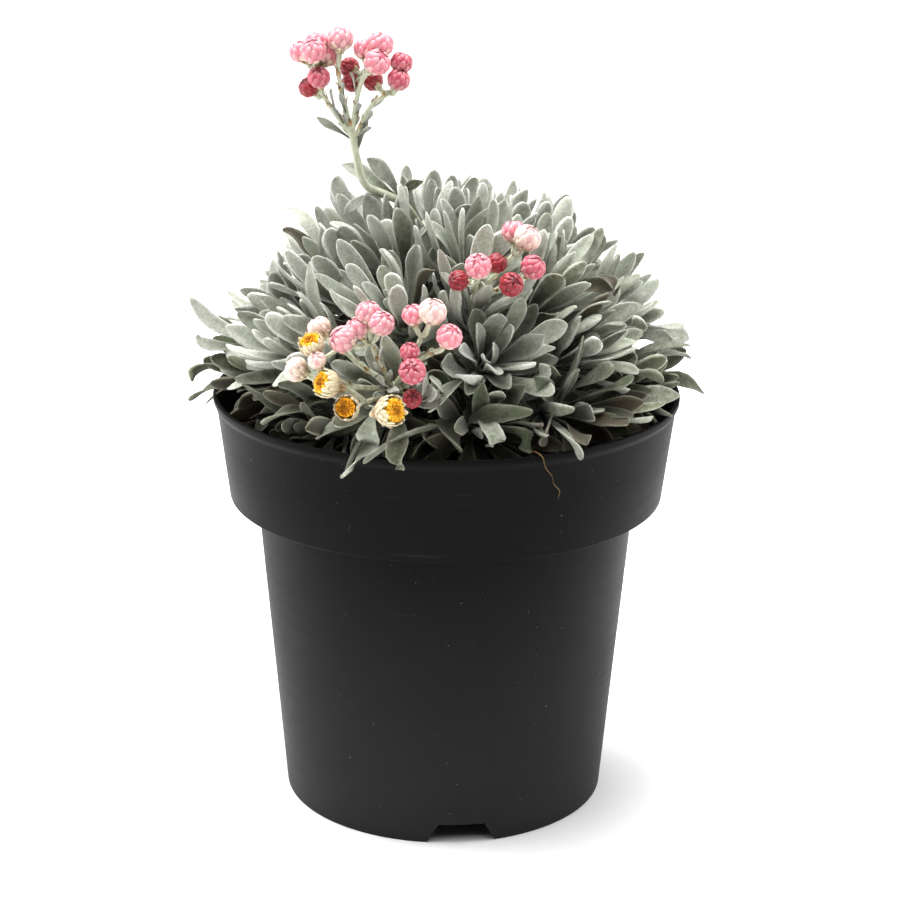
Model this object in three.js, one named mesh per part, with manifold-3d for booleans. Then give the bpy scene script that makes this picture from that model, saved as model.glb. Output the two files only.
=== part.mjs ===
// A potted dwarf everlasting: a mound of silver felted leaves in a black nursery pot, with three
// sprays of papery pink flower heads, some of them open round a yellow disc.
// Millimetres, +Z up, the front towards -Y. The origin is the middle of the pot's foot, on the ground.
import * as THREE from "three";
import { mergeVertices } from "three/addons/utils/BufferGeometryUtils.js";
import Module from "manifold-3d";

const wasm = await Module();
wasm.setup();

// Pot, a moulded container with a deep collar.
const POT_HEIGHT = 165.5;
const RIM_RADIUS = 91.4;
const BASE_RADIUS = 64;
const WALL = 1.7;
const COLLAR_BOTTOM = 124;
const COLLAR_BOTTOM_RADIUS = 85.4;
const NECK_RADIUS = 74.8;
const LIP_HEIGHT = 4.5;
const LIP_FLARE = 1.4;
const FLOOR_HEIGHT = 9;
const FOOT_RADIUS = 28;
const POT_SEGMENTS = 36;

// Drainage: notches through the skirt, and a hole in the floor behind each.
const NOTCH_AZIMUTHS = [6.5, 126.5, 246.5];
const NOTCH_WIDTH_LOW = 27;
const NOTCH_WIDTH_HIGH = 18;
const NOTCH_HEIGHT = 8;
const NOTCH_START = 46;
const NOTCH_REACH = 24;
const BELOW_GROUND = 1;
const DRAIN_RADIUS = 4.5;
const DRAIN_RING_RADIUS = 46;

// Potting mix.
const SOIL_TOP = 150;
const SOIL_GAP = 0.4;
const SOIL_SEGMENTS = 18;
const SOIL_RINGS = [76, 62, 42, 22];
const SOIL_DROP = 1.5;
const SOIL_RELIEF = 1.1;
const HOLE_DEPTH = 12;
const HOLE_RADIUS = 3;
const STEM_GAP = 0.3;

// The mound: shoots fan out from the crown to a dome of this radius round the crown's middle.
const CROWN = [0, 0, SOIL_TOP];
const SHOOT_REACH = 62;
const WHORLS = 3;
const WHORL_SIZE = 5;
const WHORL_STEP = 3.4;
const WHORL_START = -5;
const BUD_LENGTH = 4;
const FOOT_SPREAD = 0.62;
const SHOULDER_SHARE = 0.6;
const SHOULDER_RISE = 2;
const STEM_RADIUS = 2.2;
const TIP_RADIUS = 1.5;
const ROOT_RINGS = 3;
const SHOOT_TURN = 47;

// A leaf, narrow at its root and broad above the middle, with a keel under it. The half width is
// a share of the width, at a share of the length.
const LEAF_THICKNESS = 1.4;
const LEAF_STATIONS = [
  { along: 0.27, half: 0.26 },
  { along: 0.62, half: 0.5 },
  { along: 0.87, half: 0.42 },
];

// The leaves of each whorl from the lowest up: the widest and narrowest angle from the shoot's
// axis at the root, the further turn outward by the tip at each, and the length and width. Sag is
// how far a leaf that looks down is raised at its root, to lie out and hang at its tip.
const WHORL_LEAVES = [
  { widest: 66, narrowest: 36, bendWide: 4, bendNarrow: -16, length: 42, width: 9.4, sag: 1 },
  { widest: 38, narrowest: 24, bendWide: 0, bendNarrow: -10, length: 39, width: 8.8, sag: 0.6 },
  { widest: 16, narrowest: 11, bendWide: -3, bendNarrow: -3, length: 32, width: 7.2, sag: 0 },
];

// How far one leaf differs from the next, in all, and how much one that looks down is drawn in at
// its root and bent at its tip.
const VARIATION = { swing: 12, tilt: 8, bend: 16, length: 0.2, width: 0.16, twist: 24, sway: 0.08 };
const HANG = { narrow: 0.8, wide: 0.5, bend: 44 };

// The room that leaves keep to each other and to what is near them.
const BLADE_GAP = 0.4;
const CELL_GAP = 0.7;
const CELL_REACH = 48;
const STALK_CLEARANCE = 0.8;
const RIM_CLEARANCE = 0.8;
const RIM_BAND = 5.5;
const SOIL_CLEARANCE = 1.2;

// Shoots in rings from the rim to the top: azimuth from the front, positive to the right, and
// elevation on the dome, in degrees.
const SHOOTS = [
  { name: "shoot_rim_front_left", azimuth: -42, elevation: 12 },
  { name: "shoot_rim_front", azimuth: 9, elevation: 16 },
  { name: "shoot_rim_front_right", azimuth: 42, elevation: 18 },
  { name: "shoot_rim_right", azimuth: 83, elevation: 17 },
  { name: "shoot_rim_back_right", azimuth: 128, elevation: 18 },
  { name: "shoot_rim_back", azimuth: 176, elevation: 17 },
  { name: "shoot_rim_back_left", azimuth: -133, elevation: 18 },
  { name: "shoot_rim_left", azimuth: -86, elevation: 17 },
  { name: "flowering_shoot_front", azimuth: -19, elevation: 24 },
  { name: "shoot_low_front", azimuth: 14, elevation: 36 },
  { name: "shoot_low_front_right", azimuth: 51, elevation: 34 },
  { name: "shoot_low_right", azimuth: 90, elevation: 35 },
  { name: "shoot_low_back_right", azimuth: 135, elevation: 38 },
  { name: "shoot_low_back", azimuth: 178, elevation: 38 },
  { name: "shoot_low_back_left", azimuth: -136, elevation: 38 },
  { name: "shoot_low_left", azimuth: -95, elevation: 36 },
  { name: "shoot_low_front_left", azimuth: -57, elevation: 32 },
  { name: "shoot_mid_front_left", azimuth: -24, elevation: 50 },
  { name: "flowering_shoot_middle", azimuth: 13, elevation: 53 },
  { name: "shoot_mid_right", azimuth: 61, elevation: 54 },
  { name: "shoot_mid_back_right", azimuth: 114, elevation: 57 },
  { name: "shoot_mid_back", azimuth: 177, elevation: 58 },
  { name: "shoot_mid_back_left", azimuth: -126, elevation: 58 },
  { name: "shoot_mid_left", azimuth: -78, elevation: 53 },
  { name: "shoot_top_front", azimuth: 24, elevation: 72 },
  { name: "shoot_top_left", azimuth: -68, elevation: 71 },
  { name: "flowering_shoot_top", azimuth: -160, elevation: 72 },
  { name: "shoot_top_right", azimuth: 112, elevation: 73 },
  { name: "shoot_crown", azimuth: 20, elevation: 88 },
];

// Long old leaves that lie out over the soil or hang across the rim, each from a whorl of its
// shoot. Lean is the turn from straight down to the right, tilt the angle from the shoot's axis at
// the root, and bend the further turn by the tip.
const SKIRT_LEAVES = [
  { shoot: "flowering_shoot_front", whorl: 0, lean: 4, tilt: 12, bend: 66, length: 52, width: 10.5 },
  { shoot: "flowering_shoot_front", whorl: 0, lean: 66, tilt: 18, bend: 54, length: 50, width: 8.5 },
  { shoot: "flowering_shoot_front", whorl: 0, lean: -62, tilt: 30, bend: 34, length: 50, width: 9 },
  { shoot: "shoot_rim_front_left", whorl: 0, lean: -50, tilt: 40, bend: 8, length: 50, width: 8 },
  { shoot: "shoot_rim_front_left", whorl: 0, lean: 30, tilt: 30, bend: 8, length: 46, width: 8.5 },
  { shoot: "shoot_rim_front_right", whorl: 0, lean: -30, tilt: 12, bend: 60, length: 50, width: 8 },
  { shoot: "shoot_rim_left", whorl: 0, lean: 40, tilt: 16, bend: 20, length: 52, width: 8 },
];

// A spray's stalk runs from its shoot's apex through these points to the fork.
// Each branch goes on from one of them, and each head sits on a short pedicel at its branch's end.
// Heads that press against each other are one bunch, and lie along a chain of touching heads.
const STALK_RADIUS = 1.5;
const BRANCH_RADIUS = 1.05;
const PEDICEL_RADIUS = 0.8;
const KNEE_LENGTH = 2.5;
const SUNK = 0.6;
const SEAT_GAP = 0.3;
const SPRAYS = [
  {
    shoot: "flowering_shoot_top",
    stalk: [[-12, 12, 229], [-17, 8, 237], [-25, 4, 242], [-31, 2, 245], [-35, 0, 257], [-37, 0, 267]],
    branches: {
      left: [[-36.6, 0, 265], [-44, 0, 275], [-48, 0, 281]],
      left_tip: [[-48, 0, 281], [-50, 1, 290]],
      tall: [[-37, 0, 267], [-41, 0, 284], [-42, -1, 291]],
      middle: [[-36.8, 0, 266], [-34, 0, 283], [-31, 0, 291]],
      right: [[-36.2, 0, 263], [-28, 0, 278], [-22, 0, 282]],
    },
    bunches: [
      { name: "heads_top_left", colour: "pink", branch: "left_tip", heads: [
        { at: [-56, 1, 297], size: 8.6 }, { at: [-51, -4, 298], size: 9.4 },
        { at: [-50, 3, 300], size: 8.8 }, { at: [-46, 4, 295], size: 8.2 }] },
      { name: "heads_top_left_low", colour: "red", branch: "left", heads: [
        { at: [-49, -4, 288], size: 8.4 }, { at: [-53, -2, 284], size: 7.6 }] },
      { name: "head_top_tallest", colour: "pink", branch: "tall", heads: [
        { at: [-41, 0, 302], size: 9.6 }] },
      { name: "heads_top_inner", colour: "red", branch: "middle", heads: [
        { at: [-38, 7, 290], size: 7.6 }, { at: [-37, 4, 285], size: 7.4 }] },
      { name: "heads_top_right", colour: "pink", branch: "middle", heads: [
        { at: [-32, 2, 298], size: 8.2 }, { at: [-26, 1, 300], size: 9.8 },
        { at: [-27, -4, 294], size: 9.8 }] },
      { name: "heads_top_right_low", colour: "pink", branch: "right", heads: [
        { at: [-19, -1, 287], size: 8.4 }, { at: [-18, 2, 293], size: 8.2 }] },
      { name: "head_top_back", colour: "red", branch: "right", heads: [
        { at: [-29, 7, 285], size: 7.4 }] },
    ],
    bracts: [
      { at: [-35.8, 0, 261], azimuth: -84, rise: 36, droop: -4, length: 19, width: 2.6 },
      { at: [-35, 0, 257], azimuth: 60, rise: 84, droop: 16, length: 18, width: 4 },
      { at: [-18, 7, 238], azimuth: -75, rise: 52, droop: -8, length: 24, width: 6 },
      { at: [-17, 8, 236], azimuth: 165, rise: 48, droop: 20, length: 18, width: 5 },
    ],
  },
  {
    shoot: "flowering_shoot_middle",
    stalk: [[10, -49, 215]],
    branches: {
      straight: [[10, -49, 215], [11, -60, 225]],
      right: [[9.8, -47, 212.6], [19, -51, 226], [24, -53, 232]],
      side: [[9.6, -45, 210.3], [19, -58, 221]],
    },
    bunches: [
      { name: "heads_middle_pale", colour: "pale", branch: "right", heads: [
        { at: [24, -49, 240], size: 8.4 }, { at: [29, -55, 239], size: 9.8 }] },
      { name: "head_middle_front", colour: "pink", branch: "straight", heads: [
        { at: [11, -70, 232], size: 9.2 }] },
      { name: "head_middle_right", colour: "rose", branch: "side", heads: [
        { at: [31, -63, 230], size: 9 }] },
      { name: "head_middle_low", colour: "red", branch: "side", heads: [
        { at: [23, -69, 225], size: 8.6 }] },
      { name: "head_middle_inner", colour: "red", branch: "straight", heads: [
        { at: [18, -61, 231], size: 7.2 }] },
      { name: "head_middle_left", colour: "red", branch: "straight", heads: [
        { at: [4, -64, 225], size: 7.4 }] },
    ],
    bracts: [],
  },
  {
    shoot: "flowering_shoot_front",
    stalk: [[-17, -66, 183], [-20, -72, 188]],
    branches: {
      upper_left: [[-20, -72, 188], [-32, -75, 197], [-38, -76, 203]],
      outer_left: [[-18.5, -69, 185.5], [-36, -78, 190], [-43, -80, 194]],
      low: [[-17, -65, 182.8], [-29, -80, 184]],
      middle: [[-19.6, -71.2, 187.3], [-25, -76, 199], [-27, -77, 205]],
      centre: [[-19, -70, 186.3], [-14, -77, 196], [-9, -80, 208]],
      right: [[-14, -77, 196], [-5, -82, 203]],
      base: [[-17, -63, 182.3], [-14, -79, 184]],
      rose: [[-18, -68, 184.7], [-11, -81, 194]],
    },
    bunches: [
      { name: "head_front_cream_bud", colour: "pale", branch: "upper_left", heads: [
        { at: [-46, -71, 209], size: 8.2 }] },
      { name: "head_front_open_upper", colour: "cream", branch: "upper_left", heads: [
        { at: [-48, -81, 205], size: 9.2, open: true, aim: [-0.3, -0.35, 0.9] }] },
      { name: "head_front_bud", colour: "pale", branch: "outer_left", heads: [
        { at: [-46, -86, 201], size: 6.2 }] },
      { name: "head_front_outer", colour: "pale", branch: "outer_left", heads: [
        { at: [-54, -77, 195], size: 8.8 }] },
      { name: "head_front_open_left", colour: "cream", branch: "low", heads: [
        { at: [-42, -89, 193], size: 10.4, open: true, aim: [-0.8, -0.45, 0.35] }] },
      { name: "head_front_open_low", colour: "cream", branch: "low", heads: [
        { at: [-35, -91, 185], size: 9.2, open: true, aim: [-0.25, -0.9, 0.3] }] },
      { name: "head_front_open_right", colour: "cream", branch: "base", heads: [
        { at: [-20, -98, 186], size: 11.4, open: true, aim: [0.72, -0.6, 0.3] }] },
      { name: "heads_front_left", colour: "pink", branch: "middle", heads: [
        { at: [-32, -79, 211], size: 8.4 }, { at: [-37, -83, 208], size: 9.6 },
        { at: [-28, -79, 217], size: 8.6 }, { at: [-23, -83, 214], size: 9 }] },
      { name: "heads_front_white", colour: "pale", branch: "centre", heads: [
        { at: [-12, -82, 217], size: 7.8 }, { at: [-5, -85, 219], size: 9.8 }] },
      { name: "head_front_right", colour: "pink", branch: "right", heads: [
        { at: [1, -89, 211], size: 9 }] },
      { name: "heads_front_rose", colour: "rose", branch: "rose", heads: [
        { at: [-12, -92, 199], size: 9.4 }, { at: [-13, -88, 205], size: 6.8 }] },
      { name: "head_front_dark", colour: "red", branch: "base", heads: [
        { at: [-12, -89, 188], size: 6.8 }] },
    ],
    bracts: [],
  },
];

// Flower heads: whorls of papery bracts. Heights are shares of the head's height, radii of its
// radius, and the head's height is a share of its size.
const CLOSED_HEIGHT = 0.96;
const OPEN_HEIGHT = 0.86;
const HEAD_UPTURN = 0.35;
const HEAD_GUARD = 0.56;
const BRACTS = 5;
const BRACT_RISE = 0.08;
const BRACT_SPREAD = 0.07;
const CLOSED_WHORLS = [
  { height: 0.2, radius: 0.72 },
  { height: 0.52, radius: 1 },
  { height: 0.84, radius: 0.7 },
];
const OPEN_WHORLS = [
  { height: 0.2, radius: 0.66 },
  { height: 0.8, radius: 1 },
];
const CUP = { height: 0.56, radius: 0.64 };
const CUP_FLOOR = 0.46;
const DISC_FLOOR = 0.52;
const DISC_WHORLS = [
  { height: 0.66, radius: 0.52 },
  { height: 0.92, radius: 0.64 },
];
const DISC_TOP = 1.1;
const DISC_RELIEF = 0.3;

const degrees = Math.PI / 180;
const material = (color, roughness) => new THREE.MeshStandardMaterial({ color, roughness, metalness: 0 });
const materials = {
  plastic: material(0x2b2b2c, 0.45),
  soil: material(0x2a211b, 1),
  felt: material(0xa3aca1, 0.9),
  pink: material(0xe88aa0, 0.7),
  rose: material(0xd2506e, 0.7),
  red: material(0xae1f38, 0.7),
  pale: material(0xf3cfcb, 0.7),
  cream: material(0xe9dcbd, 0.75),
  disc: material(0xe0950f, 0.9),
};

const add = (a, b) => [a[0] + b[0], a[1] + b[1], a[2] + b[2]];
const sub = (a, b) => [a[0] - b[0], a[1] - b[1], a[2] - b[2]];
const scaled = (a, k) => [a[0] * k, a[1] * k, a[2] * k];
const dot = (a, b) => a[0] * b[0] + a[1] * b[1] + a[2] * b[2];
const cross = (a, b) => [a[1] * b[2] - a[2] * b[1], a[2] * b[0] - a[0] * b[2], a[0] * b[1] - a[1] * b[0]];
const unit = (a) => scaled(a, 1 / Math.sqrt(dot(a, a)));
const mixed = (a, b, k) => a + (b - a) * k;
const mix = (a, b, k) => add(scaled(a, 1 - k), scaled(b, k));
const moved = (point, ...steps) => steps.reduce((p, [direction, k]) => add(p, scaled(direction, k)), point);

// The direction at an azimuth from the front and an elevation, in degrees.
function direction(azimuth, elevation) {
  const flat = Math.cos(elevation * degrees);
  const turn = azimuth * degrees;
  return [Math.sin(turn) * flat, -Math.cos(turn) * flat, Math.sin(elevation * degrees)];
}

// A repeatable stream of numbers from 0 to 1 for each seed.
function randomStream(seed) {
  let state = seed >>> 0;
  return () => {
    state = (state + 0x6d2b79f5) >>> 0;
    let t = state;
    t = Math.imul(t ^ (t >>> 15), t | 1);
    t ^= t + Math.imul(t ^ (t >>> 7), t | 61);
    return ((t ^ (t >>> 14)) >>> 0) / 4294967296;
  };
}

// The triangles between two rings, without the sides that are listed. Here and below the corners
// are points, or numbers that stand for them, and rings are all counted the same way round.
function sidesBetween(lower, upper, open = []) {
  return lower.flatMap((a, side) => {
    if (open.includes(side)) return [];
    const next = (side + 1) % lower.length;
    const [b, c, d] = [lower[next], upper[next], upper[side]];
    return [[a, b, c], [a, c, d]];
  });
}

const coneTo = (tip, ring) => ring.map((a, side) => [a, ring[(side + 1) % ring.length], tip]);

// The triangles of a blade of three-cornered rings that grows out of a face, which is given by its
// lower left, lower right, upper right and upper left corners.
function bladeSides([lowerLeft, lowerRight, upperRight, upperLeft], rings, tip) {
  const [right, left, keel] = rings[0];
  return [
    [lowerLeft, lowerRight, keel],
    [lowerRight, upperRight, right],
    [lowerRight, right, keel],
    [upperRight, upperLeft, left],
    [upperRight, left, right],
    [upperLeft, lowerLeft, left],
    [lowerLeft, keel, left],
    ...rings.slice(1).flatMap((ring, i) => sidesBetween(rings[i], ring)),
    ...coneTo(tip, rings[rings.length - 1]),
  ];
}

// A skin over rings of points. A side left out of it takes a blade.
class Skin {
  constructor() {
    this.points = [];
    this.triangles = [];
  }

  ring(points) {
    return points.map((point) => this.points.push(point) - 1);
  }

  add(...triangles) {
    this.triangles.push(...triangles);
  }

  start(point, ring) {
    const [tip] = this.ring([point]);
    this.add(...coneTo(tip, ring).map(([a, b, c]) => [b, a, c]));
  }

  end(point, ring) {
    const [tip] = this.ring([point]);
    this.add(...coneTo(tip, ring));
  }

  blade(corners, { rings, tip }) {
    const indexed = rings.map((ring) => this.ring(ring));
    const [last] = this.ring([tip]);
    this.add(...bladeSides(corners, indexed, last));
  }

  solid() {
    let volume = 0;
    for (const [a, b, c] of this.triangles) {
      volume += dot(this.points[a], cross(this.points[b], this.points[c]));
    }
    const facing = volume < 0 ? this.triangles.map(([a, b, c]) => [a, c, b]) : this.triangles;
    return new wasm.Manifold(
      new wasm.Mesh({
        numProp: 3,
        vertProperties: new Float32Array(this.points.flat()),
        triVerts: new Uint32Array(facing.flat()),
      }),
    );
  }
}

// A closed solid over rings, with a point at each end.
function loft(start, rings, end) {
  const skin = new Skin();
  const indexed = rings.map((ring) => skin.ring(ring));
  skin.start(start, indexed[0]);
  for (let i = 0; i + 1 < indexed.length; i++) skin.add(...sidesBetween(indexed[i], indexed[i + 1]));
  skin.end(end, indexed[indexed.length - 1]);
  return skin.solid();
}

// Rings round a path, with a radius and a turn in degrees at each of its points.
function ringsAlong(path, radii, sides, turns = path.map(() => 0)) {
  const last = path.length - 1;
  const tangentAt = (i) => unit(sub(path[Math.min(i + 1, last)], path[Math.max(i - 1, 0)]));
  let across = unit(cross(tangentAt(0), Math.abs(tangentAt(0)[2]) > 0.9 ? [1, 0, 0] : [0, 0, 1]));
  return path.map((point, i) => {
    const tangent = tangentAt(i);
    across = unit(sub(across, scaled(tangent, dot(across, tangent))));
    const other = cross(tangent, across);
    return Array.from({ length: sides }, (_, side) => {
      const turn = (2 * Math.PI * side) / sides + turns[i] * degrees;
      return moved(point, [across, Math.cos(turn) * radii[i]], [other, Math.sin(turn) * radii[i]]);
    });
  });
}

// A round bar through points.
function tube(path, radii, sides) {
  return loft(path[0], ringsAlong(path, radii, sides), path[path.length - 1]);
}

const joined = (solids) => solids.reduce((whole, solid) => whole.add(solid));

// The solid of a three.js geometry.
function solidOf(geometry) {
  const bare = geometry.clone();
  bare.deleteAttribute("normal");
  bare.deleteAttribute("uv");
  const merged = mergeVertices(bare, 1e-3);
  const mesh = new wasm.Mesh({
    numProp: 3,
    vertProperties: merged.attributes.position.array,
    triVerts: new Uint32Array(merged.index.array),
  });
  return new wasm.Manifold(mesh);
}

function meshOf(name, solid, finish) {
  const { numProp, numVert, vertProperties, triVerts } = solid.getMesh();
  const position = new Float32Array(numVert * 3);
  for (let i = 0; i < numVert; i++) {
    position.set(vertProperties.subarray(i * numProp, i * numProp + 3), i * 3);
  }
  const geometry = new THREE.BufferGeometry();
  geometry.setAttribute("position", new THREE.BufferAttribute(position, 3));
  geometry.setIndex(new THREE.BufferAttribute(triVerts.slice(), 1));
  geometry.computeVertexNormals();
  const mesh = new THREE.Mesh(geometry, finish);
  mesh.name = name;
  return mesh;
}

// A profile of [radius, height] turned round the Z axis.
function turned(profile, segments) {
  const geometry = new THREE.LatheGeometry(profile.map(([r, z]) => new THREE.Vector2(r, z)), segments);
  geometry.rotateX(Math.PI / 2);
  return geometry;
}

const wallRadius = (z) => BASE_RADIUS + ((NECK_RADIUS - BASE_RADIUS) * z) / COLLAR_BOTTOM;
const LIP_BOTTOM = POT_HEIGHT - LIP_HEIGHT;
const collarRadius = (z) =>
  COLLAR_BOTTOM_RADIUS +
  ((RIM_RADIUS - LIP_FLARE - COLLAR_BOTTOM_RADIUS) * (z - COLLAR_BOTTOM)) / (LIP_BOTTOM - COLLAR_BOTTOM);

function potSolid() {
  const profile = [
    [0, 0],
    [FOOT_RADIUS, 0],
    [FOOT_RADIUS + 2, FLOOR_HEIGHT],
    [BASE_RADIUS - WALL - 0.6, FLOOR_HEIGHT],
    [BASE_RADIUS - WALL, 0],
    [BASE_RADIUS, 0],
    [NECK_RADIUS, COLLAR_BOTTOM],
    [COLLAR_BOTTOM_RADIUS, COLLAR_BOTTOM],
    [collarRadius(LIP_BOTTOM), LIP_BOTTOM],
    [RIM_RADIUS, POT_HEIGHT - 2],
    [RIM_RADIUS, POT_HEIGHT],
    [RIM_RADIUS - WALL, POT_HEIGHT],
    [collarRadius(LIP_BOTTOM) - WALL, LIP_BOTTOM],
    [COLLAR_BOTTOM_RADIUS - WALL, COLLAR_BOTTOM + WALL],
    [NECK_RADIUS - WALL, COLLAR_BOTTOM + WALL],
    [wallRadius(FLOOR_HEIGHT + WALL) - WALL, FLOOR_HEIGHT + WALL],
    [FOOT_RADIUS + 2 - WALL / 2, FLOOR_HEIGHT + WALL],
    [FOOT_RADIUS - WALL, WALL],
    [0, WALL],
  ];
  let pot = solidOf(turned(profile, POT_SEGMENTS));
  for (const azimuth of NOTCH_AZIMUTHS) {
    pot = pot.subtract(solidOf(notchGeometry(azimuth))).subtract(solidOf(drainGeometry(azimuth)));
  }
  return pot;
}

// A trapezoid prism that runs out through the skirt at an azimuth from the front, from just below
// the ground up.
function notchGeometry(azimuth) {
  const outline = new THREE.Shape([
    new THREE.Vector2(-NOTCH_WIDTH_LOW / 2, 0),
    new THREE.Vector2(NOTCH_WIDTH_LOW / 2, 0),
    new THREE.Vector2(NOTCH_WIDTH_HIGH / 2, NOTCH_HEIGHT),
    new THREE.Vector2(-NOTCH_WIDTH_HIGH / 2, NOTCH_HEIGHT),
  ]);
  const geometry = new THREE.ExtrudeGeometry(outline, { depth: NOTCH_REACH, bevelEnabled: false });
  geometry.scale(1, 1 + BELOW_GROUND / NOTCH_HEIGHT, 1);
  geometry.translate(0, -BELOW_GROUND, 0);
  geometry.rotateX(Math.PI / 2);
  geometry.translate(0, -NOTCH_START, 0);
  geometry.rotateZ(azimuth * degrees);
  return geometry;
}

function drainGeometry(azimuth) {
  const geometry = new THREE.CylinderGeometry(DRAIN_RADIUS, DRAIN_RADIUS, 4 * WALL, 12);
  geometry.rotateX(Math.PI / 2);
  geometry.translate(0, -DRAIN_RING_RADIUS, FLOOR_HEIGHT + WALL / 2);
  geometry.rotateZ(azimuth * degrees);
  return geometry;
}

// The height of the potting mix, a little uneven.
function soilHeight(x, y) {
  const turn = Math.atan2(y, x);
  const wave = Math.sin(Math.hypot(x, y) / 9 + 2 * turn) * Math.cos(3 * turn);
  return SOIL_TOP - SOIL_DROP + SOIL_RELIEF * wave;
}

function soilSolid(holes) {
  const inner = (r) => r - WALL - SOIL_GAP;
  const profile = [
    [0, WALL + SOIL_GAP],
    [FOOT_RADIUS - WALL - SOIL_GAP, WALL + SOIL_GAP],
    [FOOT_RADIUS + 1, FLOOR_HEIGHT + WALL + SOIL_GAP],
    [inner(wallRadius(FLOOR_HEIGHT + WALL)), FLOOR_HEIGHT + WALL + SOIL_GAP],
    [inner(NECK_RADIUS), COLLAR_BOTTOM + WALL + SOIL_GAP],
    [inner(COLLAR_BOTTOM_RADIUS), COLLAR_BOTTOM + WALL + SOIL_GAP],
    [inner(collarRadius(SOIL_TOP)), SOIL_TOP - SOIL_DROP],
    ...SOIL_RINGS.map((r) => [r, SOIL_TOP]),
    [0, SOIL_TOP - SOIL_DROP],
  ];
  const geometry = turned(profile, SOIL_SEGMENTS);
  const position = geometry.attributes.position;
  for (let i = 0; i < position.count; i++) {
    if (position.getZ(i) > SOIL_TOP - SOIL_DROP / 2) {
      position.setZ(i, soilHeight(position.getX(i), position.getY(i)));
    }
  }
  return holes.reduce((soil, hole) => soil.subtract(hole), solidOf(geometry));
}

// A shoot's stem stands up out of the soil and leans out to its apex. Its axis goes on outwards
// through the leaves, and the space nearer to it than to any other axis is the shoot's own.
function shootFrame(shoot) {
  const axis = direction(shoot.azimuth, shoot.elevation);
  const crown = moved(CROWN, [axis, SHOOT_REACH]);
  const foot = [crown[0] * FOOT_SPREAD, crown[1] * FOOT_SPREAD, SOIL_TOP];
  const bottom = [foot[0], foot[1], SOIL_TOP - HOLE_DEPTH + STEM_GAP];
  const joints = Array.from({ length: WHORLS + 1 }, (_, w) => WHORL_START + WHORL_STEP * w);
  const nodes = joints.map((height) => moved(crown, [axis, height]));
  const shoulder = add(mix(foot, nodes[0], SHOULDER_SHARE), [0, 0, SHOULDER_RISE]);
  const apex = moved(nodes[WHORLS], [axis, BUD_LENGTH]);
  const spine = [bottom, foot, shoulder, nodes[0], moved(apex, [axis, CELL_REACH])];
  return { ...shoot, axis, foot, bottom, shoulder, nodes, apex, spine };
}

function distanceToSegment(point, a, b) {
  const along = sub(b, a);
  const share = Math.min(1, Math.max(0, dot(sub(point, a), along) / dot(along, along)));
  const away = sub(point, moved(a, [along, share]));
  return Math.sqrt(dot(away, away));
}

function distanceToPath(point, path) {
  let nearest = Infinity;
  for (let i = 0; i + 1 < path.length; i++) {
    nearest = Math.min(nearest, distanceToSegment(point, path[i], path[i + 1]));
  }
  return nearest;
}

// A leaf curves in the plane of axis and outward: tilt is its angle from axis at the root, and
// bend the turn by its tip. Angles are in degrees. Each ring runs edge, edge, keel.
function leafRings({ root, axis, outward, tilt, bend, length, width, twist, sway }, swell = 0) {
  const across = cross(axis, outward);
  const start = tilt * degrees;
  const turn = (Math.abs(bend) < 1 ? 1 : bend) * degrees;
  const centre = (along) => {
    const angle = start + turn * along;
    const up = ((Math.sin(angle) - Math.sin(start)) / turn) * length;
    const out = ((Math.cos(start) - Math.cos(angle)) / turn) * length;
    return moved(root, [axis, up], [outward, out], [across, sway * length * along * along]);
  };
  const rings = LEAF_STATIONS.map(({ along, half }) => {
    const angle = start + turn * along;
    const forward = add(scaled(axis, Math.cos(angle)), scaled(outward, Math.sin(angle)));
    const roll = twist * along * degrees;
    const face = cross(forward, across);
    const side = add(scaled(across, Math.cos(roll)), scaled(face, Math.sin(roll)));
    const upper = sub(scaled(face, Math.cos(roll)), scaled(across, Math.sin(roll)));
    const middle = centre(along);
    const [reach, thick] = [half * width + swell, LEAF_THICKNESS / 2 + swell];
    return [
      moved(middle, [side, reach], [upper, thick]),
      moved(middle, [side, -reach], [upper, thick]),
      moved(middle, [upper, -thick]),
    ];
  });
  return { root, rings, tip: centre(1 + swell / length) };
}

// Points along the leaf's edges, keel and middle, from a little way out to the tip.
function leafSamples({ root, rings, tip }) {
  const samples = [tip];
  const lines = rings.map(([right, left, keel]) => [right, left, keel, mix(right, left, 0.5)]);
  const stations = [[root, root, root, root], ...lines, [tip, tip, tip, tip]];
  for (let i = 0; i + 1 < stations.length; i++) {
    for (let side = 0; side < 4; side++) {
      for (const share of i === 0 ? [0.55, 0.8, 1] : [0.25, 0.5, 0.75, 1]) {
        samples.push(mix(stations[i][side], stations[i + 1][side], share));
      }
    }
  }
  return samples;
}

// Whether points keep out of the pot's rim, the soil, the other shoots' spaces and the sprays.
function isClear(points, shoot, shoots, obstacles) {
  for (const point of points) {
    const r = Math.hypot(point[0], point[1]);
    const within = r <= RIM_RADIUS - RIM_BAND;
    const nearWall = !within && r < RIM_RADIUS + RIM_CLEARANCE;
    if (nearWall && point[2] < POT_HEIGHT + RIM_CLEARANCE) return false;
    if (within && point[2] < SOIL_TOP + SOIL_CLEARANCE) return false;
    const own = distanceToPath(point, shoot.spine);
    for (const other of shoots) {
      if (other.name !== shoot.name && distanceToPath(point, other.spine) < own + CELL_GAP) return false;
    }
    for (const { from, to, radius } of obstacles) {
      if (distanceToSegment(point, from, to) < radius + STALK_CLEARANCE) return false;
    }
  }
  return true;
}

// Whether the line from a to b passes through a triangle.
function pierces(a, b, [p, q, r]) {
  const [along, side, other] = [sub(b, a), sub(q, p), sub(r, p)];
  const slant = cross(along, other);
  const span = dot(side, slant);
  if (Math.abs(span) < 1e-9) return false;
  const from = sub(a, p);
  const u = dot(from, slant) / span;
  const twist = cross(from, side);
  const v = dot(along, twist) / span;
  const reach = dot(other, twist) / span;
  return u >= 0 && v >= 0 && u + v <= 1 && reach >= 0 && reach <= 1;
}

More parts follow.
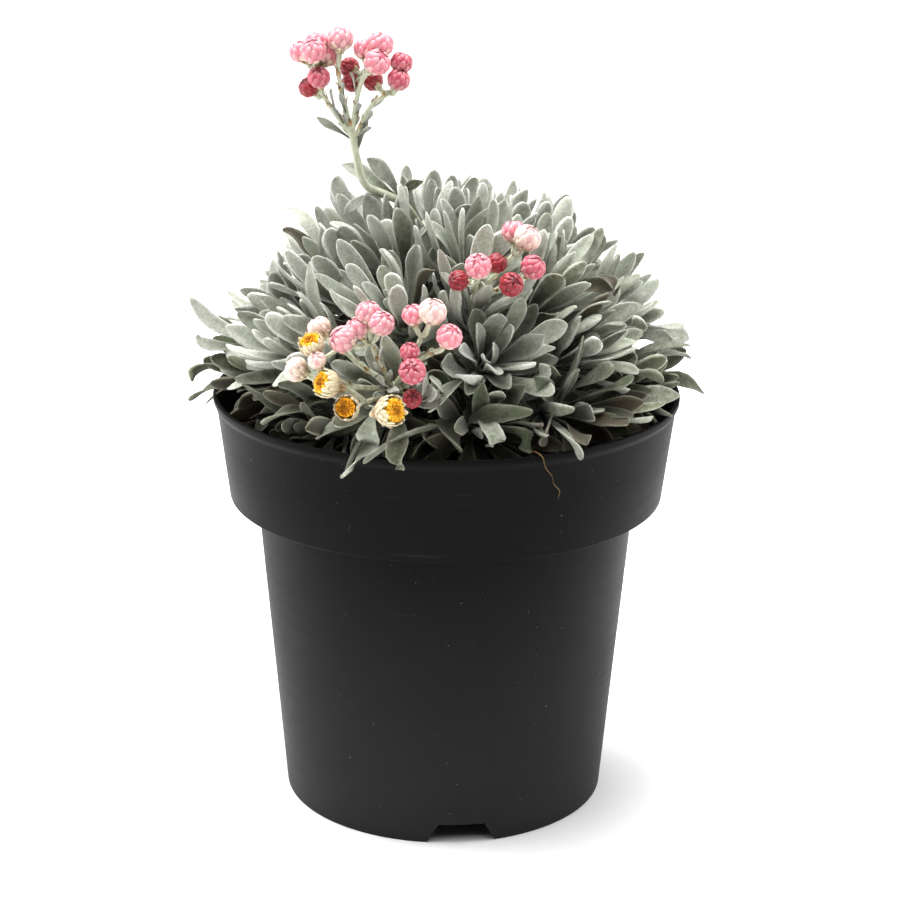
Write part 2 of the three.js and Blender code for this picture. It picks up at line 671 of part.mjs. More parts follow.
// Triangles with the box round each: low and high along X, Y and Z.
const boxed = (triangles) => triangles.map((corners) => {
  const bounds = [0, 1, 2].flatMap((k) => {
    const values = corners.map((p) => p[k]);
    return [Math.min(...values), Math.max(...values)];
  });
  return { corners, bounds };
});
const apart = (a, b) => [0, 2, 4].some((k) => a[k + 1] < b[k] || b[k + 1] < a[k]);

// Whether two blades cross, apart from the corners that they share on the stem.
function bladesCross(first, second) {
  return first.some((one) =>
    second.some((two) => {
      if (apart(one.bounds, two.bounds) || one.corners.some((p) => two.corners.includes(p))) return false;
      return [0, 1, 2].some((k) => {
        const next = (k + 1) % 3;
        return pierces(one.corners[k], one.corners[next], two.corners)
          || pierces(two.corners[k], two.corners[next], one.corners);
      });
    }),
  );
}

// The ways to set a leaf, the widest and longest first. A leaf that would leave its shoot's space,
// or cross another, is drawn in, turned a little or kept shorter.
const TRIALS = [[0, 8, -8], [18, -18, 32, -32]].flatMap((turns) =>
  [1, 0.9, 0.8, 0.7].flatMap((lengthShare) =>
    [1, 0.8, 0.6, 0.4, 0.2, 0].flatMap((spread) =>
      turns.map((turn) => ({ lengthShare, spread, turn })),
    ),
  ),
);

// The stem's rings: its foot in the soil, its shoulder, then the joints between the whorls.
function stemRings(shoot, index) {
  const path = [shoot.bottom, shoot.foot, shoot.shoulder, ...shoot.nodes];
  const joints = path.map((_, i) => Math.max(0, i - ROOT_RINGS));
  const radii = joints.map((joint) => mixed(STEM_RADIUS, TIP_RADIUS, joint / WHORLS));
  const turns = joints.map((joint) => SHOOT_TURN * index + (180 / WHORL_SIZE) * joint);
  return ringsAlong(path, radii, WHORL_SIZE, turns);
}

const stemSides = (rings) => rings.slice(1).flatMap((ring, i) => sidesBetween(rings[i], ring));

// The corners of a face of the stem: its lower left, lower right, upper right and upper left.
function faceCorners(rings, whorl, side) {
  const [lower, upper] = rings.slice(ROOT_RINGS + whorl);
  const next = (side + 1) % WHORL_SIZE;
  return [lower[side], lower[next], upper[next], upper[side]];
}

// The faces of the stem that leaves grow from, with each one's middle and the way it looks.
function leafFaces(shoot, rings) {
  return Array.from({ length: WHORLS * WHORL_SIZE }, (_, place) => {
    const whorl = Math.floor(place / WHORL_SIZE);
    const side = place % WHORL_SIZE;
    const corners = faceCorners(rings, whorl, side);
    const root = scaled(corners.reduce(add), 1 / 4);
    const away = sub(root, shoot.nodes[whorl]);
    const outward = unit(sub(away, scaled(shoot.axis, dot(away, shoot.axis))));
    return { place, whorl, side, corners, root, outward };
  });
}

// The ways to set one of the usual leaves. The lowest whorl is the longest and the most spread.
function usualLeaves(shoot, index, face) {
  const random = randomStream(1000 * index + 17 * face.place + 5);
  const { widest, narrowest, bendWide, bendNarrow, length, width, sag } = WHORL_LEAVES[face.whorl];
  const vary = (span) => span * (random() - 0.5);
  const hang = sag * Math.max(0, -face.outward[2]);
  const swing = vary(VARIATION.swing);
  const tilt = widest + vary(VARIATION.tilt);
  const bend = bendWide + vary(VARIATION.bend);
  const reach = length * (1 + vary(VARIATION.length));
  const breadth = width * (1 + vary(VARIATION.width));
  const twist = vary(VARIATION.twist);
  const sway = vary(VARIATION.sway);
  const other = cross(shoot.axis, face.outward);
  return TRIALS.map(({ lengthShare, spread, turn }) => {
    const angle = (swing + turn) * degrees;
    const outward = add(scaled(face.outward, Math.cos(angle)), scaled(other, Math.sin(angle)));
    return {
      root: face.root, axis: shoot.axis, outward,
      tilt: mixed(narrowest * (1 - HANG.narrow * hang), tilt * (1 - HANG.wide * hang), spread),
      bend: mixed(bendNarrow, bend, spread) + HANG.bend * hang,
      length: reach * lengthShare, width: breadth, twist, sway,
    };
  });
}

// The direction away from a shoot's axis at a lean from straight down, positive to the right.
function leaning(shoot, lean) {
  const down = unit(sub(scaled(shoot.axis, shoot.axis[2]), [0, 0, 1]));
  const right = direction(shoot.azimuth + 90, 0);
  return add(scaled(down, Math.cos(lean * degrees)), scaled(right, Math.sin(lean * degrees)));
}

// The ways to set a skirt leaf, drawn in to its shoot step by step.
function skirtWays(shoot, face, { lean, tilt, bend, length, width }) {
  return [1, 0.9, 0.8].flatMap((lengthShare) =>
    [0, 4, 8, 12, 16, 20].map((raise) => ({
      root: face.root, axis: shoot.axis, outward: leaning(shoot, lean), tilt: tilt - raise,
      bend: bend + 0.6 * raise, length: length * lengthShare, width, twist: 0, sway: 0,
    })),
  );
}

// Each skirt leaf takes the face of its whorl that looks most nearly its way.
function skirtFaces(shoot, faces) {
  const taken = new Map();
  for (const leaf of SKIRT_LEAVES.filter((l) => l.shoot === shoot.name)) {
    const heading = leaning(shoot, leaf.lean);
    const free = faces.filter((face) => face.whorl === leaf.whorl && !taken.has(face.place));
    const nearest = free.reduce((a, b) => (dot(b.outward, heading) > dot(a.outward, heading) ? b : a));
    taken.set(nearest.place, leaf);
  }
  return taken;
}

const leafSkin = (face, { rings, tip }) => boxed(bladeSides(face.corners, rings, tip));

// A shoot's leaves, each in the first way that keeps it clear: the skirt leaves, then the others
// from the middle outwards.
function grownLeaves(shoot, index, rings, shoots, obstacles) {
  const faces = leafFaces(shoot, rings);
  const skirts = skirtFaces(shoot, faces);
  const others = faces.filter((face) => !skirts.has(face.place)).reverse();
  const stem = boxed(stemSides(rings));
  const leaves = [];
  for (const face of [...faces.filter((f) => skirts.has(f.place)), ...others]) {
    const skirt = skirts.get(face.place);
    const ways = skirt ? skirtWays(shoot, face, skirt) : usualLeaves(shoot, index, face);
    for (const way of ways) {
      const made = leafRings(way);
      if (!isClear(leafSamples(made), shoot, shoots, obstacles)) continue;
      const swollen = leafSkin(face, leafRings(way, BLADE_GAP));
      if (bladesCross(stem, swollen) || leaves.some((leaf) => bladesCross(leaf.skin, swollen))) continue;
      leaves.push({ ...made, ...face, skin: leafSkin(face, made) });
      break;
    }
  }
  return leaves;
}

// The stem and its leaves in one skin: each leaf grows out of one face of the stem.
function shootSolid(shoot, rings, leaves) {
  const skin = new Skin();
  const indexed = rings.map((ring) => skin.ring(ring));
  skin.start(shoot.bottom, indexed[0]);
  for (let i = 0; i + 1 < indexed.length; i++) {
    const grown = leaves.filter((leaf) => leaf.whorl === i - ROOT_RINGS);
    skin.add(...sidesBetween(indexed[i], indexed[i + 1], grown.map((leaf) => leaf.side)));
    for (const leaf of grown) skin.blade(faceCorners(indexed, leaf.whorl, leaf.side), leaf);
  }
  skin.end(shoot.apex, indexed[indexed.length - 1]);
  return skin.solid();
}

// A small leaf on a stalk, set by its heading, its rise above level and its droop by the tip.
const bractLeaf = ({ at, azimuth, rise, droop, length, width }) =>
  leafRings({
    root: at, axis: [0, 0, 1], outward: direction(azimuth, 0), tilt: 90 - rise, bend: droop,
    length, width, twist: 0, sway: 0,
  });
const leafSolid = ({ root, rings, tip }) => loft(root, rings, tip);

// A head's base, from its middle, its height and the way it faces.
function headFrame(head, branch) {
  const end = branch[branch.length - 1];
  const away = unit(sub(head.at, end));
  const aim = unit(head.aim ?? add(away, [0, 0, HEAD_UPTURN]));
  const height = head.size * (head.open ? OPEN_HEIGHT : CLOSED_HEIGHT);
  return { ...head, aim, height, base: moved(head.at, [aim, -height / 2]) };
}

// A ring of bract tips and the hollows between them, round the head's axis.
function whorl({ height, radius }, head, step, depth = 1) {
  const side = unit(cross(head.aim, Math.abs(head.aim[2]) > 0.9 ? [1, 0, 0] : [0, 0, 1]));
  const other = cross(head.aim, side);
  return Array.from({ length: 2 * BRACTS }, (_, i) => {
    const tip = (i + step) % 2 === 0 ? depth : -depth;
    const turn = (Math.PI * i) / BRACTS;
    const r = (head.size / 2) * radius * (1 + BRACT_SPREAD * tip);
    const h = head.height * (height + BRACT_RISE * tip);
    return moved(head.base, [side, Math.cos(turn) * r], [other, Math.sin(turn) * r], [head.aim, h]);
  });
}

function closedHead(head) {
  const rings = CLOSED_WHORLS.map((ring, i) => whorl(ring, head, i));
  return loft(head.base, rings, moved(head.base, [head.aim, head.height]));
}

// An open head: bracts in a cup, whose hollow holds the disc.
function openHead(head) {
  const rings = [...OPEN_WHORLS.map((ring, i) => whorl(ring, head, i)), whorl(CUP, head, 1, 0)];
  return loft(head.base, rings, moved(head.base, [head.aim, CUP_FLOOR * head.height]));
}

function discSolid(head) {
  const rings = DISC_WHORLS.map((ring, i) => whorl(ring, head, i, DISC_RELIEF));
  const floor = moved(head.base, [head.aim, DISC_FLOOR * head.height]);
  return loft(floor, rings, moved(head.base, [head.aim, DISC_TOP * head.height]));
}

// Every stalk, branch and head as a rounded bar that the leaves keep clear of.
function sprayObstacles(spray) {
  const bars = [];
  const addPath = (path, radius) => {
    path.slice(1).forEach((to, i) => bars.push({ from: path[i], to, radius }));
  };
  addPath(spray.stalk, STALK_RADIUS);
  for (const path of Object.values(spray.branches)) addPath(path, BRANCH_RADIUS);
  for (const bunch of spray.bunches) {
    const branch = spray.branches[bunch.branch];
    for (const head of bunch.heads) {
      addPath([branch[branch.length - 1], headFrame(head, branch).base], PEDICEL_RADIUS);
      bars.push({ from: head.at, to: add(head.at, [0, 0, 0.1]), radius: head.size * HEAD_GUARD });
    }
  }
  return bars;
}

// A path whose start is drawn back, to sink it in what it grows from.
const sunk = ([first, second, ...rest]) => [moved(first, [unit(sub(first, second)), SUNK]), second, ...rest];

// The stalk, its branches, pedicels and small leaves, all of one growth with the shoot.
function spraySolids(spray, shoot) {
  const stalk = [shoot.nodes[WHORLS], ...spray.stalk];
  const solids = [tube(stalk, stalk.map(() => STALK_RADIUS), 4)];
  for (const path of Object.values(spray.branches)) {
    solids.push(tube(sunk(path), path.map(() => BRANCH_RADIUS), 4));
  }
  for (const bunch of spray.bunches) {
    const branch = spray.branches[bunch.branch];
    const head = headFrame(bunch.heads[0], branch);
    const knee = moved(head.base, [head.aim, -KNEE_LENGTH]);
    const seat = moved(head.base, [head.aim, -SEAT_GAP]);
    const pedicel = sunk([branch[branch.length - 1], knee, seat]);
    solids.push(tube(pedicel, [PEDICEL_RADIUS, PEDICEL_RADIUS, PEDICEL_RADIUS], 3));
  }
  for (const bract of spray.bracts) solids.push(leafSolid(bractLeaf(bract)));
  return solids;
}

const plant = new THREE.Group();
const shoots = SHOOTS.map(shootFrame);
const sprayOf = (shoot) => SPRAYS.find((spray) => spray.shoot === shoot.name);
const obstacles = SPRAYS.flatMap(sprayObstacles);
const holes = shoots.map(({ foot, bottom }) =>
  tube([sub(bottom, [0, 0, STEM_GAP]), add(foot, [0, 0, HOLE_RADIUS])], [HOLE_RADIUS, HOLE_RADIUS], 5),
);

plant.add(meshOf("pot", potSolid(), materials.plastic));
plant.add(meshOf("soil", soilSolid(holes), materials.soil));

shoots.forEach((shoot, index) => {
  const rings = stemRings(shoot, index);
  const leaves = grownLeaves(shoot, index, rings, shoots, obstacles);
  const spray = sprayOf(shoot);
  const solids = [
    shootSolid(shoot, rings, leaves),
    ...(spray ? spraySolids(spray, shoot) : []),
  ];
  plant.add(meshOf(shoot.name, joined(solids), materials.felt));
});

for (const spray of SPRAYS) {
  for (const bunch of spray.bunches) {
    const heads = bunch.heads.map((head) => headFrame(head, spray.branches[bunch.branch]));
    const solids = heads.map((head) => (head.open ? openHead(head) : closedHead(head)));
    plant.add(meshOf(bunch.name, joined(solids), materials[bunch.colour]));
    for (const head of heads.filter((h) => h.open)) {
      plant.add(meshOf(`${bunch.name}_disc`, discSolid(head), materials.disc));
    }
  }
}

export default plant;
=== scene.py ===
"""A potted dwarf everlasting: a mound of silver felted leaves and papery pink flower heads in a
black nursery pot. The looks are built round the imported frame. Shapes are worked out in
millimetres, +Z up with the front towards -Y, and turned into metres as the meshes are made."""

import math
import random
from types import SimpleNamespace

import bmesh
import bpy
import numpy as np
from mathutils import Matrix, Vector, noise


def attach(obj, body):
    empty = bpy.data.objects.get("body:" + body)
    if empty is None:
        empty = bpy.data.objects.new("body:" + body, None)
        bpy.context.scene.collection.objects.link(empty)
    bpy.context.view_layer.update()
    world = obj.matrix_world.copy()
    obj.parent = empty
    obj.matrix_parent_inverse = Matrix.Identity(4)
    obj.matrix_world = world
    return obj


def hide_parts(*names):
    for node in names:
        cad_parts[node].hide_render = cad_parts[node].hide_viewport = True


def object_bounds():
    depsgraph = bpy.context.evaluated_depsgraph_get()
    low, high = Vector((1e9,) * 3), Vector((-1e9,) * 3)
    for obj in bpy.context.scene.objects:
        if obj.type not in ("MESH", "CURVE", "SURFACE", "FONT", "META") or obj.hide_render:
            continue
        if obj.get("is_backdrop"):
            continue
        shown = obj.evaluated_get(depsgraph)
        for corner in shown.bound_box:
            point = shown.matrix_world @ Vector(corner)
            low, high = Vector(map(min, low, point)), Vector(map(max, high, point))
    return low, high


MM = 0.001
UP = np.array([0.0, 0.0, 1.0])
GOLDEN = math.pi * (3 - math.sqrt(5))

# The frame's own dimensions.
POT_HEIGHT = 165.5
RIM_RADIUS = 91.4
BASE_RADIUS = 64
WALL = 1.7
COLLAR_BOTTOM = 124
COLLAR_BOTTOM_RADIUS = 85.4
NECK_RADIUS = 74.8
LIP_HEIGHT = 4.5
LIP_FLARE = 1.4
FLOOR_HEIGHT = 9
FOOT_RADIUS = 28
NOTCH_AZIMUTHS = (6.5, 126.5, 246.5)
NOTCH_WIDTH_LOW = 27
NOTCH_WIDTH_HIGH = 18
NOTCH_HEIGHT = 8
NOTCH_START = 46
NOTCH_REACH = 24
DRAIN_RADIUS = 4.5
DRAIN_RING_RADIUS = 46
SOIL_TOP = 150
SOIL_GAP = 0.4
SOIL_DROP = 1.5
SOIL_RELIEF = 1.1
HOLE_DEPTH = 12
STEM_GAP = 0.3
SHOOT_REACH = 62
WHORLS = 3
WHORL_STEP = 3.4
WHORL_START = -5
BUD_LENGTH = 4
FOOT_SPREAD = 0.62
SHOULDER_SHARE = 0.6
SHOULDER_RISE = 2
STEM_RADIUS = 2.2
TIP_RADIUS = 1.5
STALK_RADIUS = 1.5
BRANCH_RADIUS = 1.05
PEDICEL_RADIUS = 0.8
KNEE_LENGTH = 2.5

# Azimuth from the front and elevation of each shoot on the mound, in degrees.
SHOOTS = {
    "shoot_rim_front_left": (-42, 12),
    "shoot_rim_front": (9, 16),
    "shoot_rim_front_right": (42, 18),
    "shoot_rim_right": (83, 17),
    "shoot_rim_back_right": (128, 18),
    "shoot_rim_back": (176, 17),
    "shoot_rim_back_left": (-133, 18),
    "shoot_rim_left": (-86, 17),
    "flowering_shoot_front": (-19, 24),
    "shoot_low_front": (14, 36),
    "shoot_low_front_right": (51, 34),
    "shoot_low_right": (90, 35),
    "shoot_low_back_right": (135, 38),
    "shoot_low_back": (178, 38),
    "shoot_low_back_left": (-136, 38),
    "shoot_low_left": (-95, 36),
    "shoot_low_front_left": (-57, 32),
    "shoot_mid_front_left": (-24, 50),
    "flowering_shoot_middle": (13, 53),
    "shoot_mid_right": (61, 54),
    "shoot_mid_back_right": (114, 57),
    "shoot_mid_back": (177, 58),
    "shoot_mid_back_left": (-126, 58),
    "shoot_mid_left": (-78, 53),
    "shoot_top_front": (24, 72),
    "shoot_top_left": (-68, 71),
    "flowering_shoot_top": (-160, 72),
    "shoot_top_right": (112, 73),
    "shoot_crown": (20, 88),
}

# How much older and darker than their places tell the leaves of some shoots are: partly real age,
# partly painted shade for the parts of the mound that lie in shade.
SHOOT_AGE_AND_PAINTED_SHADE = {
    "shoot_rim_front": 0.5,
    "shoot_rim_front_left": 0.58,
    "shoot_rim_front_right": 0.5,
    "shoot_rim_left": 0.42,
    "shoot_rim_right": 0.26,
    "shoot_low_front": 0.14,
    "shoot_low_front_right": 0.2,
    "shoot_low_right": 0.16,
    "shoot_mid_right": 0.22,
}

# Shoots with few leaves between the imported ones, where the soil shows.
SPARSE_SHOOTS = ("shoot_rim_left", "shoot_rim_front_left", "shoot_rim_front")

# Long leaves that lie over the soil and the rim, by the shoot that each grows from: a point on its
# way, its tip, its width, its age, its roll in degrees and how deeply it is folded. The oldest, set
# deep between shoots, are dark olive that also stands in for the shade in the gaps there.
LONG_LEAVES = {
    "shoot_rim_left": [
        ((-85, -14, 171), (-97, -12, 164), 6, 0.8, 30, 0.3),
        ((-87, -2, 174), (-98, -4, 168), 6, 0.72, -10, 0.3),
        ((-71, -31, 178), (-78, -35, 172), 5, 0.1, 30, 0.2),
        ((-61, -38, 178), (-63, -44, 170), 6.5, 1.0, 40, 0.4),
        ((-78, 16, 172), (-90, 24, 168), 8, 0.6, 0, 0.3),
    ],
    "shoot_low_left": [
        ((-80, -10, 189), (-99, -6, 196), 7, 0.06, 35, 0.3),
        ((-84, -10, 184), (-97, -10, 184), 6.5, 0.2, 20, 0.3),
    ],
    "shoot_low_front_left": [
        ((-68, -25, 182), (-87, -22, 187), 9, 0.12, 65, 0.3),
    ],
    "shoot_mid_left": [
        ((-40, 4, 195), (-48, 17, 195), 10, 1.0, 0, 0.2),
        ((-50, 6, 223), (-58, 10, 237), 7, 0.1, 50, 0.3),
        ((-52, -2, 220), (-63, -4, 226), 7, 1.0, 30, 0.5),
    ],
    "shoot_top_left": [
        ((-36, 8, 231), (-46, 14, 245), 8.5, 0.12, 60, 0.3),
    ],
    "shoot_mid_front_left": [
        ((-10, -48, 218), (-6, -55, 229), 7, 0.9, -30, 0.4),
    ],
    "shoot_mid_right": [
        ((37, -2, 200), (46, 0, 204), 10, 1.0, 20, 0.3),
        ((35, -12, 196), (34, -6, 208), 10, 1.0, -60, 0.3),
        ((42, -8, 196), (54, -6, 200), 9, 0.95, 0, 0.3),
        ((50, -30, 214), (62, -38, 215), 7, 1.0, -40, 0.5),
        ((54, -22, 216), (68, -28, 214), 7, 0.95, 20, 0.4),
    ],
    "shoot_mid_back_right": [
        ((36, 5, 194), (43, -3, 190), 10, 1.0, 0, 0.2),
        ((36, 12, 226), (39, 10, 242), 9, 0.2, -70, 0.2),
    ],
    "shoot_rim_right": [
        ((83, -8, 173), (97, -6, 164.5), 8, 0.75, -20, 0.3),
        ((81, 0, 179), (95, 2, 177), 8, 0.35, 15, 0.3),
    ],
    "shoot_low_right": [
        ((80, 2, 187), (94, 8, 184), 7.5, 0.15, -20, 0.3),
    ],
    "shoot_rim_front_left": [
        ((-47, -58, 178), (-58, -61, 173), 8.5, 0.75, 25, 0.4),
        ((-53, -61, 175), (-68, -60, 168), 6.5, 0.62, 10, 0.4),
    ],
    "flowering_shoot_front": [
        ((-45, -56, 187), (-57, -58, 182), 8.5, 0.1, 20, 0.3),
        ((-36, -68, 173), (-47, -73, 167), 7.5, 0.38, 25, 0.1),
        ((-27, -88, 180), (-29, -98, 166), 9, 0.3, -20, 0.4),
        ((-17, -86, 175), (-17, -98, 163), 8, 0.62, 15, 0.4),
        ((-4, -74, 182), (-9, -81, 191), 4.5, 0.25, 50, 0.4),
    ],
    "shoot_rim_front": [
        ((-9, -84, 175), (-31, -91, 170), 8.5, 0.5, -15, 0.5),
        ((0, -78, 175), (7, -87, 168), 11, 0.85, 10, 0.3),
        ((12, -77, 178), (30, -78, 181), 9.5, 0.66, -60, 0.2),
        ((14, -80, 176), (16, -88, 168), 7, 0.3, 25, 0.4),
        ((25, -75, 172), (32, -79, 168), 8, 0.7, 20, 0.3),
    ],
    "shoot_low_front": [
        ((11, -70, 188), (6, -78, 197), 8, 0.04, -50, 0.5),
        ((2, -76, 189), (-6, -84, 182), 9.5, 0.28, -20, 0.3),
    ],
    "shoot_low_front_right": [
        ((33, -60, 187), (38, -68, 190), 8.5, 0.18, -40, 0.4),
        ((57, -46, 182), (65, -50, 177), 8.5, 0.15, 30, 0.5),
        ((50, -42, 203), (57, -43, 217), 7, 1.0, 40, 0.5),
    ],
    "shoot_rim_front_right": [
        ((66, -37, 173), (86, -30, 168), 10, 0.42, -35, 0.2),
        ((37, -66, 177), (45, -73, 174), 8.5, 0.34, 25, 0.4),
        ((42, -74, 172), (51, -84, 166), 7, 0.34, 15, 0.2),
        ((33, -73, 172), (37, -80, 169), 7, 0.4, 35, 0.45),
        ((62, -50, 172), (77, -44, 169), 7.5, 0.52, -40, 0.4),
        ((65, -52, 169), (76, -48, 167.5), 6.5, 0.36, 10, 0.4),
    ],
}

# Each spray's stalk goes on from its shoot's last joint. Branches leave it, and a pedicel runs
# from a branch's end to the first head of each bunch. A head is its middle and its size, and an
# open one has the way it faces. A small leaf is its root, a point on its way, its tip, its width,
# its age and its roll in degrees.
SPRAYS = {
    "flowering_shoot_top": {
        "stalk": [
            (-12, 12, 229), (-17, 8, 237), (-25, 4, 242), (-31, 2, 245), (-35, 0, 257), (-37, 0, 267)],
        "branches": {
            "left": [(-36.6, 0, 265), (-44, 0, 275), (-48, 0, 281)],
            "left_tip": [(-48, 0, 281), (-50, 1, 290)],
            "tall": [(-37, 0, 267), (-41, 0, 284), (-42, -1, 291)],
            "middle": [(-36.8, 0, 266), (-34, 0, 283), (-31, 0, 291)],
            "right": [(-36.2, 0, 263), (-28, 0, 278), (-22, 0, 282)],
        },
        "bunches": {
            "heads_top_left": ("pink", "left_tip", [
                ((-56, 1, 297), 8.6), ((-51, -4, 298), 9.4), ((-50, 3, 300), 8.8), ((-46, 4, 295), 8.2)]),
            "heads_top_left_low": ("red", "left", [((-49, -4, 288), 8.4), ((-53, -2, 284), 7.6)]),
            "head_top_tallest": ("pink", "tall", [((-41, 0, 302), 9.6)]),
            "heads_top_inner": ("red", "middle", [((-38, 7, 290), 7.6), ((-37, 4, 285), 7.4)]),
            "heads_top_right": ("pink", "middle", [
                ((-32, 2, 298), 8.2), ((-26, 1, 300), 9.8), ((-27, -4, 294), 9.8)]),
            "heads_top_right_low": ("pink", "right", [((-19, -1, 287), 8.4), ((-18, 2, 293), 8.2)]),
            "head_top_back": ("red", "right", [((-29, 7, 285), 7.4)]),
        },
        "small_leaves": [
            ((-36.6, 0, 263.5), (-44, -1, 268.5), (-51, -2, 272), 3.4, 0.25, 60),
            ((-35, 0, 258.5), (-33, 0, 266), (-31, 0, 273), 3.6, 0.15, -60),
            ((-17.5, 7, 238), (-23.5, 6, 248.5), (-31, 4, 256), 7, 0.1, 65),
            ((-17, 9, 237), (-30, 13, 246), (-39, 12, 253), 7, 0.12, 65),
            ((-17, 7, 239), (-15.5, 6, 244), (-11, 5, 248), 4.2, 0.6, -60),
            ((-24, 3.5, 241), (-33, -2, 241), (-39, -6, 235), 4.8, 0, 40),
        ],
    },
    "flowering_shoot_middle": {
        "stalk": [(10, -49, 215)],
        "branches": {
            "straight": [(10, -49, 215), (11, -60, 225)],
            "right": [(9.8, -47, 212.6), (19, -51, 226), (24, -53, 232)],
            "side": [(9.6, -45, 210.3), (19, -58, 221)],
        },
        "bunches": {
            "heads_middle_pale": ("pale", "right", [((24, -49, 240), 8.4), ((29, -55, 239), 9.8)]),
            "head_middle_front": ("pink", "straight", [((11, -70, 232), 9.2)]),
            "head_middle_right": ("rose", "side", [((31, -63, 230), 9)]),
            "head_middle_low": ("red", "side", [((23, -69, 225), 8.6)]),
            "head_middle_inner": ("red", "straight", [((18, -61, 231), 7.2)]),
            "head_middle_left": ("red", "straight", [((4, -64, 225), 7.4)]),
        },
        "small_leaves": [],
    },
    "flowering_shoot_front": {
        "stalk": [(-17, -66, 183), (-20, -72, 188)],
        "branches": {
            "upper_left": [(-20, -72, 188), (-32, -75, 197), (-38, -76, 203)],
            "outer_left": [(-18.5, -69, 185.5), (-36, -78, 190), (-43, -80, 194)],
            "low": [(-17, -65, 182.8), (-29, -80, 184)],
            "middle": [(-19.6, -71.2, 187.3), (-25, -76, 199), (-27, -77, 205)],
            "centre": [(-19, -70, 186.3), (-14, -77, 196), (-9, -80, 208)],
            "right": [(-14, -77, 196), (-5, -82, 203)],
            "base": [(-17, -63, 182.3), (-14, -79, 184)],
            "rose": [(-18, -68, 184.7), (-11, -81, 194)],
        },
        "bunches": {
            "head_front_cream_bud": ("pale", "upper_left", [((-46, -71, 209), 8.2)]),
            "head_front_open_upper": ("cream", "upper_left", [((-48, -81, 205), 9.2, (-0.3, -0.35, 0.9))]),
            "head_front_bud": ("pale", "outer_left", [((-46, -86, 201), 6.2)]),
            "head_front_outer": ("pale", "outer_left", [((-54, -77, 195), 8.8)]),
            "head_front_open_left": ("cream", "low", [((-42, -89, 193), 10.4, (-0.8, -0.45, 0.35))]),
            "head_front_open_low": ("cream", "low", [((-35, -91, 185), 9.2, (-0.25, -0.9, 0.3))]),
            "head_front_open_right": ("cream", "base", [((-20, -98, 186), 11.4, (0.72, -0.6, 0.3))]),
            "heads_front_left": ("pink", "middle", [
                ((-32, -79, 211), 8.4), ((-37, -83, 208), 9.6),
                ((-28, -79, 217), 8.6), ((-23, -83, 214), 9)]),
            "heads_front_white": ("pale", "centre", [((-12, -82, 217), 7.8), ((-5, -85, 219), 9.8)]),
            "head_front_right": ("pink", "right", [((1, -89, 211), 9)]),
            "heads_front_rose": ("rose", "rose", [((-12, -92, 199), 9.4), ((-13, -88, 205), 6.8)]),
            "head_front_dark": ("red", "base", [((-12, -89, 188), 6.8)]),
        },
        "small_leaves": [
            ((-14, -78, 184), (-8, -84, 189), (-7, -87, 197), 3.4, 0.25, -40),
            ((-14, -78, 184), (-6, -84, 187), (-2, -88, 196), 2.8, 0.5, -50),
            ((-14, -77, 184), (-7, -84, 184), (0, -88, 189), 3.4, 0.35, -40),
            ((-19.5, -71, 187.5), (-23, -77, 190), (-24, -81, 194), 3.6, 0.1, 30),
            ((-19.5, -71, 187.5), (-20, -78, 188), (-18, -83, 191), 3.6, 0.1, -20),
            ((-17, -65, 183), (-20, -78, 182), (-27, -84, 180), 4, 0.2, 20),
        ],
    },
}
CLOSED_HEIGHT = 0.96
OPEN_HEIGHT = 0.86
HEAD_UPTURN = 0.35

# A packed leaf has its root, three rings and its tip at these shares of its length. The fine leaf
# has more stations, with the half width at each as a share of the width.
LEAF_KNOTS = (0, 0.27, 0.62, 0.87, 1)
LEAF_STATIONS = np.array([0, 0.1, 0.22, 0.34, 0.46, 0.57, 0.67, 0.76, 0.84, 0.905, 0.955, 0.985])
ROUND_HALVES = np.array([0.18, 0.16, 0.17, 0.22, 0.3, 0.38, 0.45, 0.49, 0.49, 0.43, 0.31, 0.18])
POINTED_HALVES = np.array([0.19, 0.17, 0.2, 0.28, 0.37, 0.45, 0.49, 0.47, 0.38, 0.26, 0.15, 0.07])
LEAF_THICKNESS = 1.0

# How much leaves vary, as the spread in a young leaf and what full age adds: the sideways sweep and
# the curl as shares of the length, and the twist in radians. A tip curls by one of its shares more.
SWEEP = (0.05, 0.03)
CURL = (0.07, 0.04)
TWIST = (0.38, 0.4)
TIP_CURLS = (0, 0, 0.1, 0.2, -0.14)

# How far a packed leaf is turned about its root, as a spread in degrees.
NUDGE = 4

# A packed leaf is its shoot's own if its root is nearer the shoot's crown than this.
ROOT_REACH = 9

# The age of a leaf goes from 0 to 1, and olive is old. A packed leaf's is by its whorl, and more if
# it is long and hangs over the soil. All grow older below a height and inside a distance from the
# middle of the mound, up to these ages over these depths. These added ages darken the leaves as
# painted shade low down and deep in the mound, as well as real age.
WHORL_AGES = (0.14, 0.05, 0)
LONG_LEAF = 45.5
LONG_LEAF_AGE = 0.2
LOW_LEAVES = 192
LOW_AGE_AND_SHADE = 0.5
LOW_DEPTH = 22
MOUND_REACH = 88
INNER_AGE_AND_SHADE = 0.35
INNER_DEPTH = 24

# How many leaves are tried at a shoot's heart, between its packed leaves and on its old stem, and
# how far apart leaves keep.
HEART_LEAVES = 8
FILLING_LEAVES = 26
SPARSE_LEAVES = 10
OLD_LEAVES = 22
CLOSE_GAP = 1.2
OPEN_GAP = 1.7

# New leaves keep these gaps over the rim and the potting mix. The wall takes up this much inside
# the rim. Leaves reach no further than this out past the rim and down outside it.
RIM_GAP = 1.2
SOIL_LEAF_GAP = 1.5
WALL_ZONE = 5
OVERHANG = 9
DROOP = 12

# Where scales and small leaves stand along a branch, as shares of its length, and the scales at a
# closed head's neck.
SCALE_PLACES = (0.1, 0.2, 0.35, 0.45, 0.6, 0.7, 0.85, 0.95)
STALK_LEAF_PLACES = (0.12, 0.3, 0.55)
NECK_SCALES = 3

# How many bracts and florets an open head has, and how bright a ripe disc is if a young one is 1.
OPEN_BRACTS = 44
DISC_FLORETS = 100
RIPE = 0.65

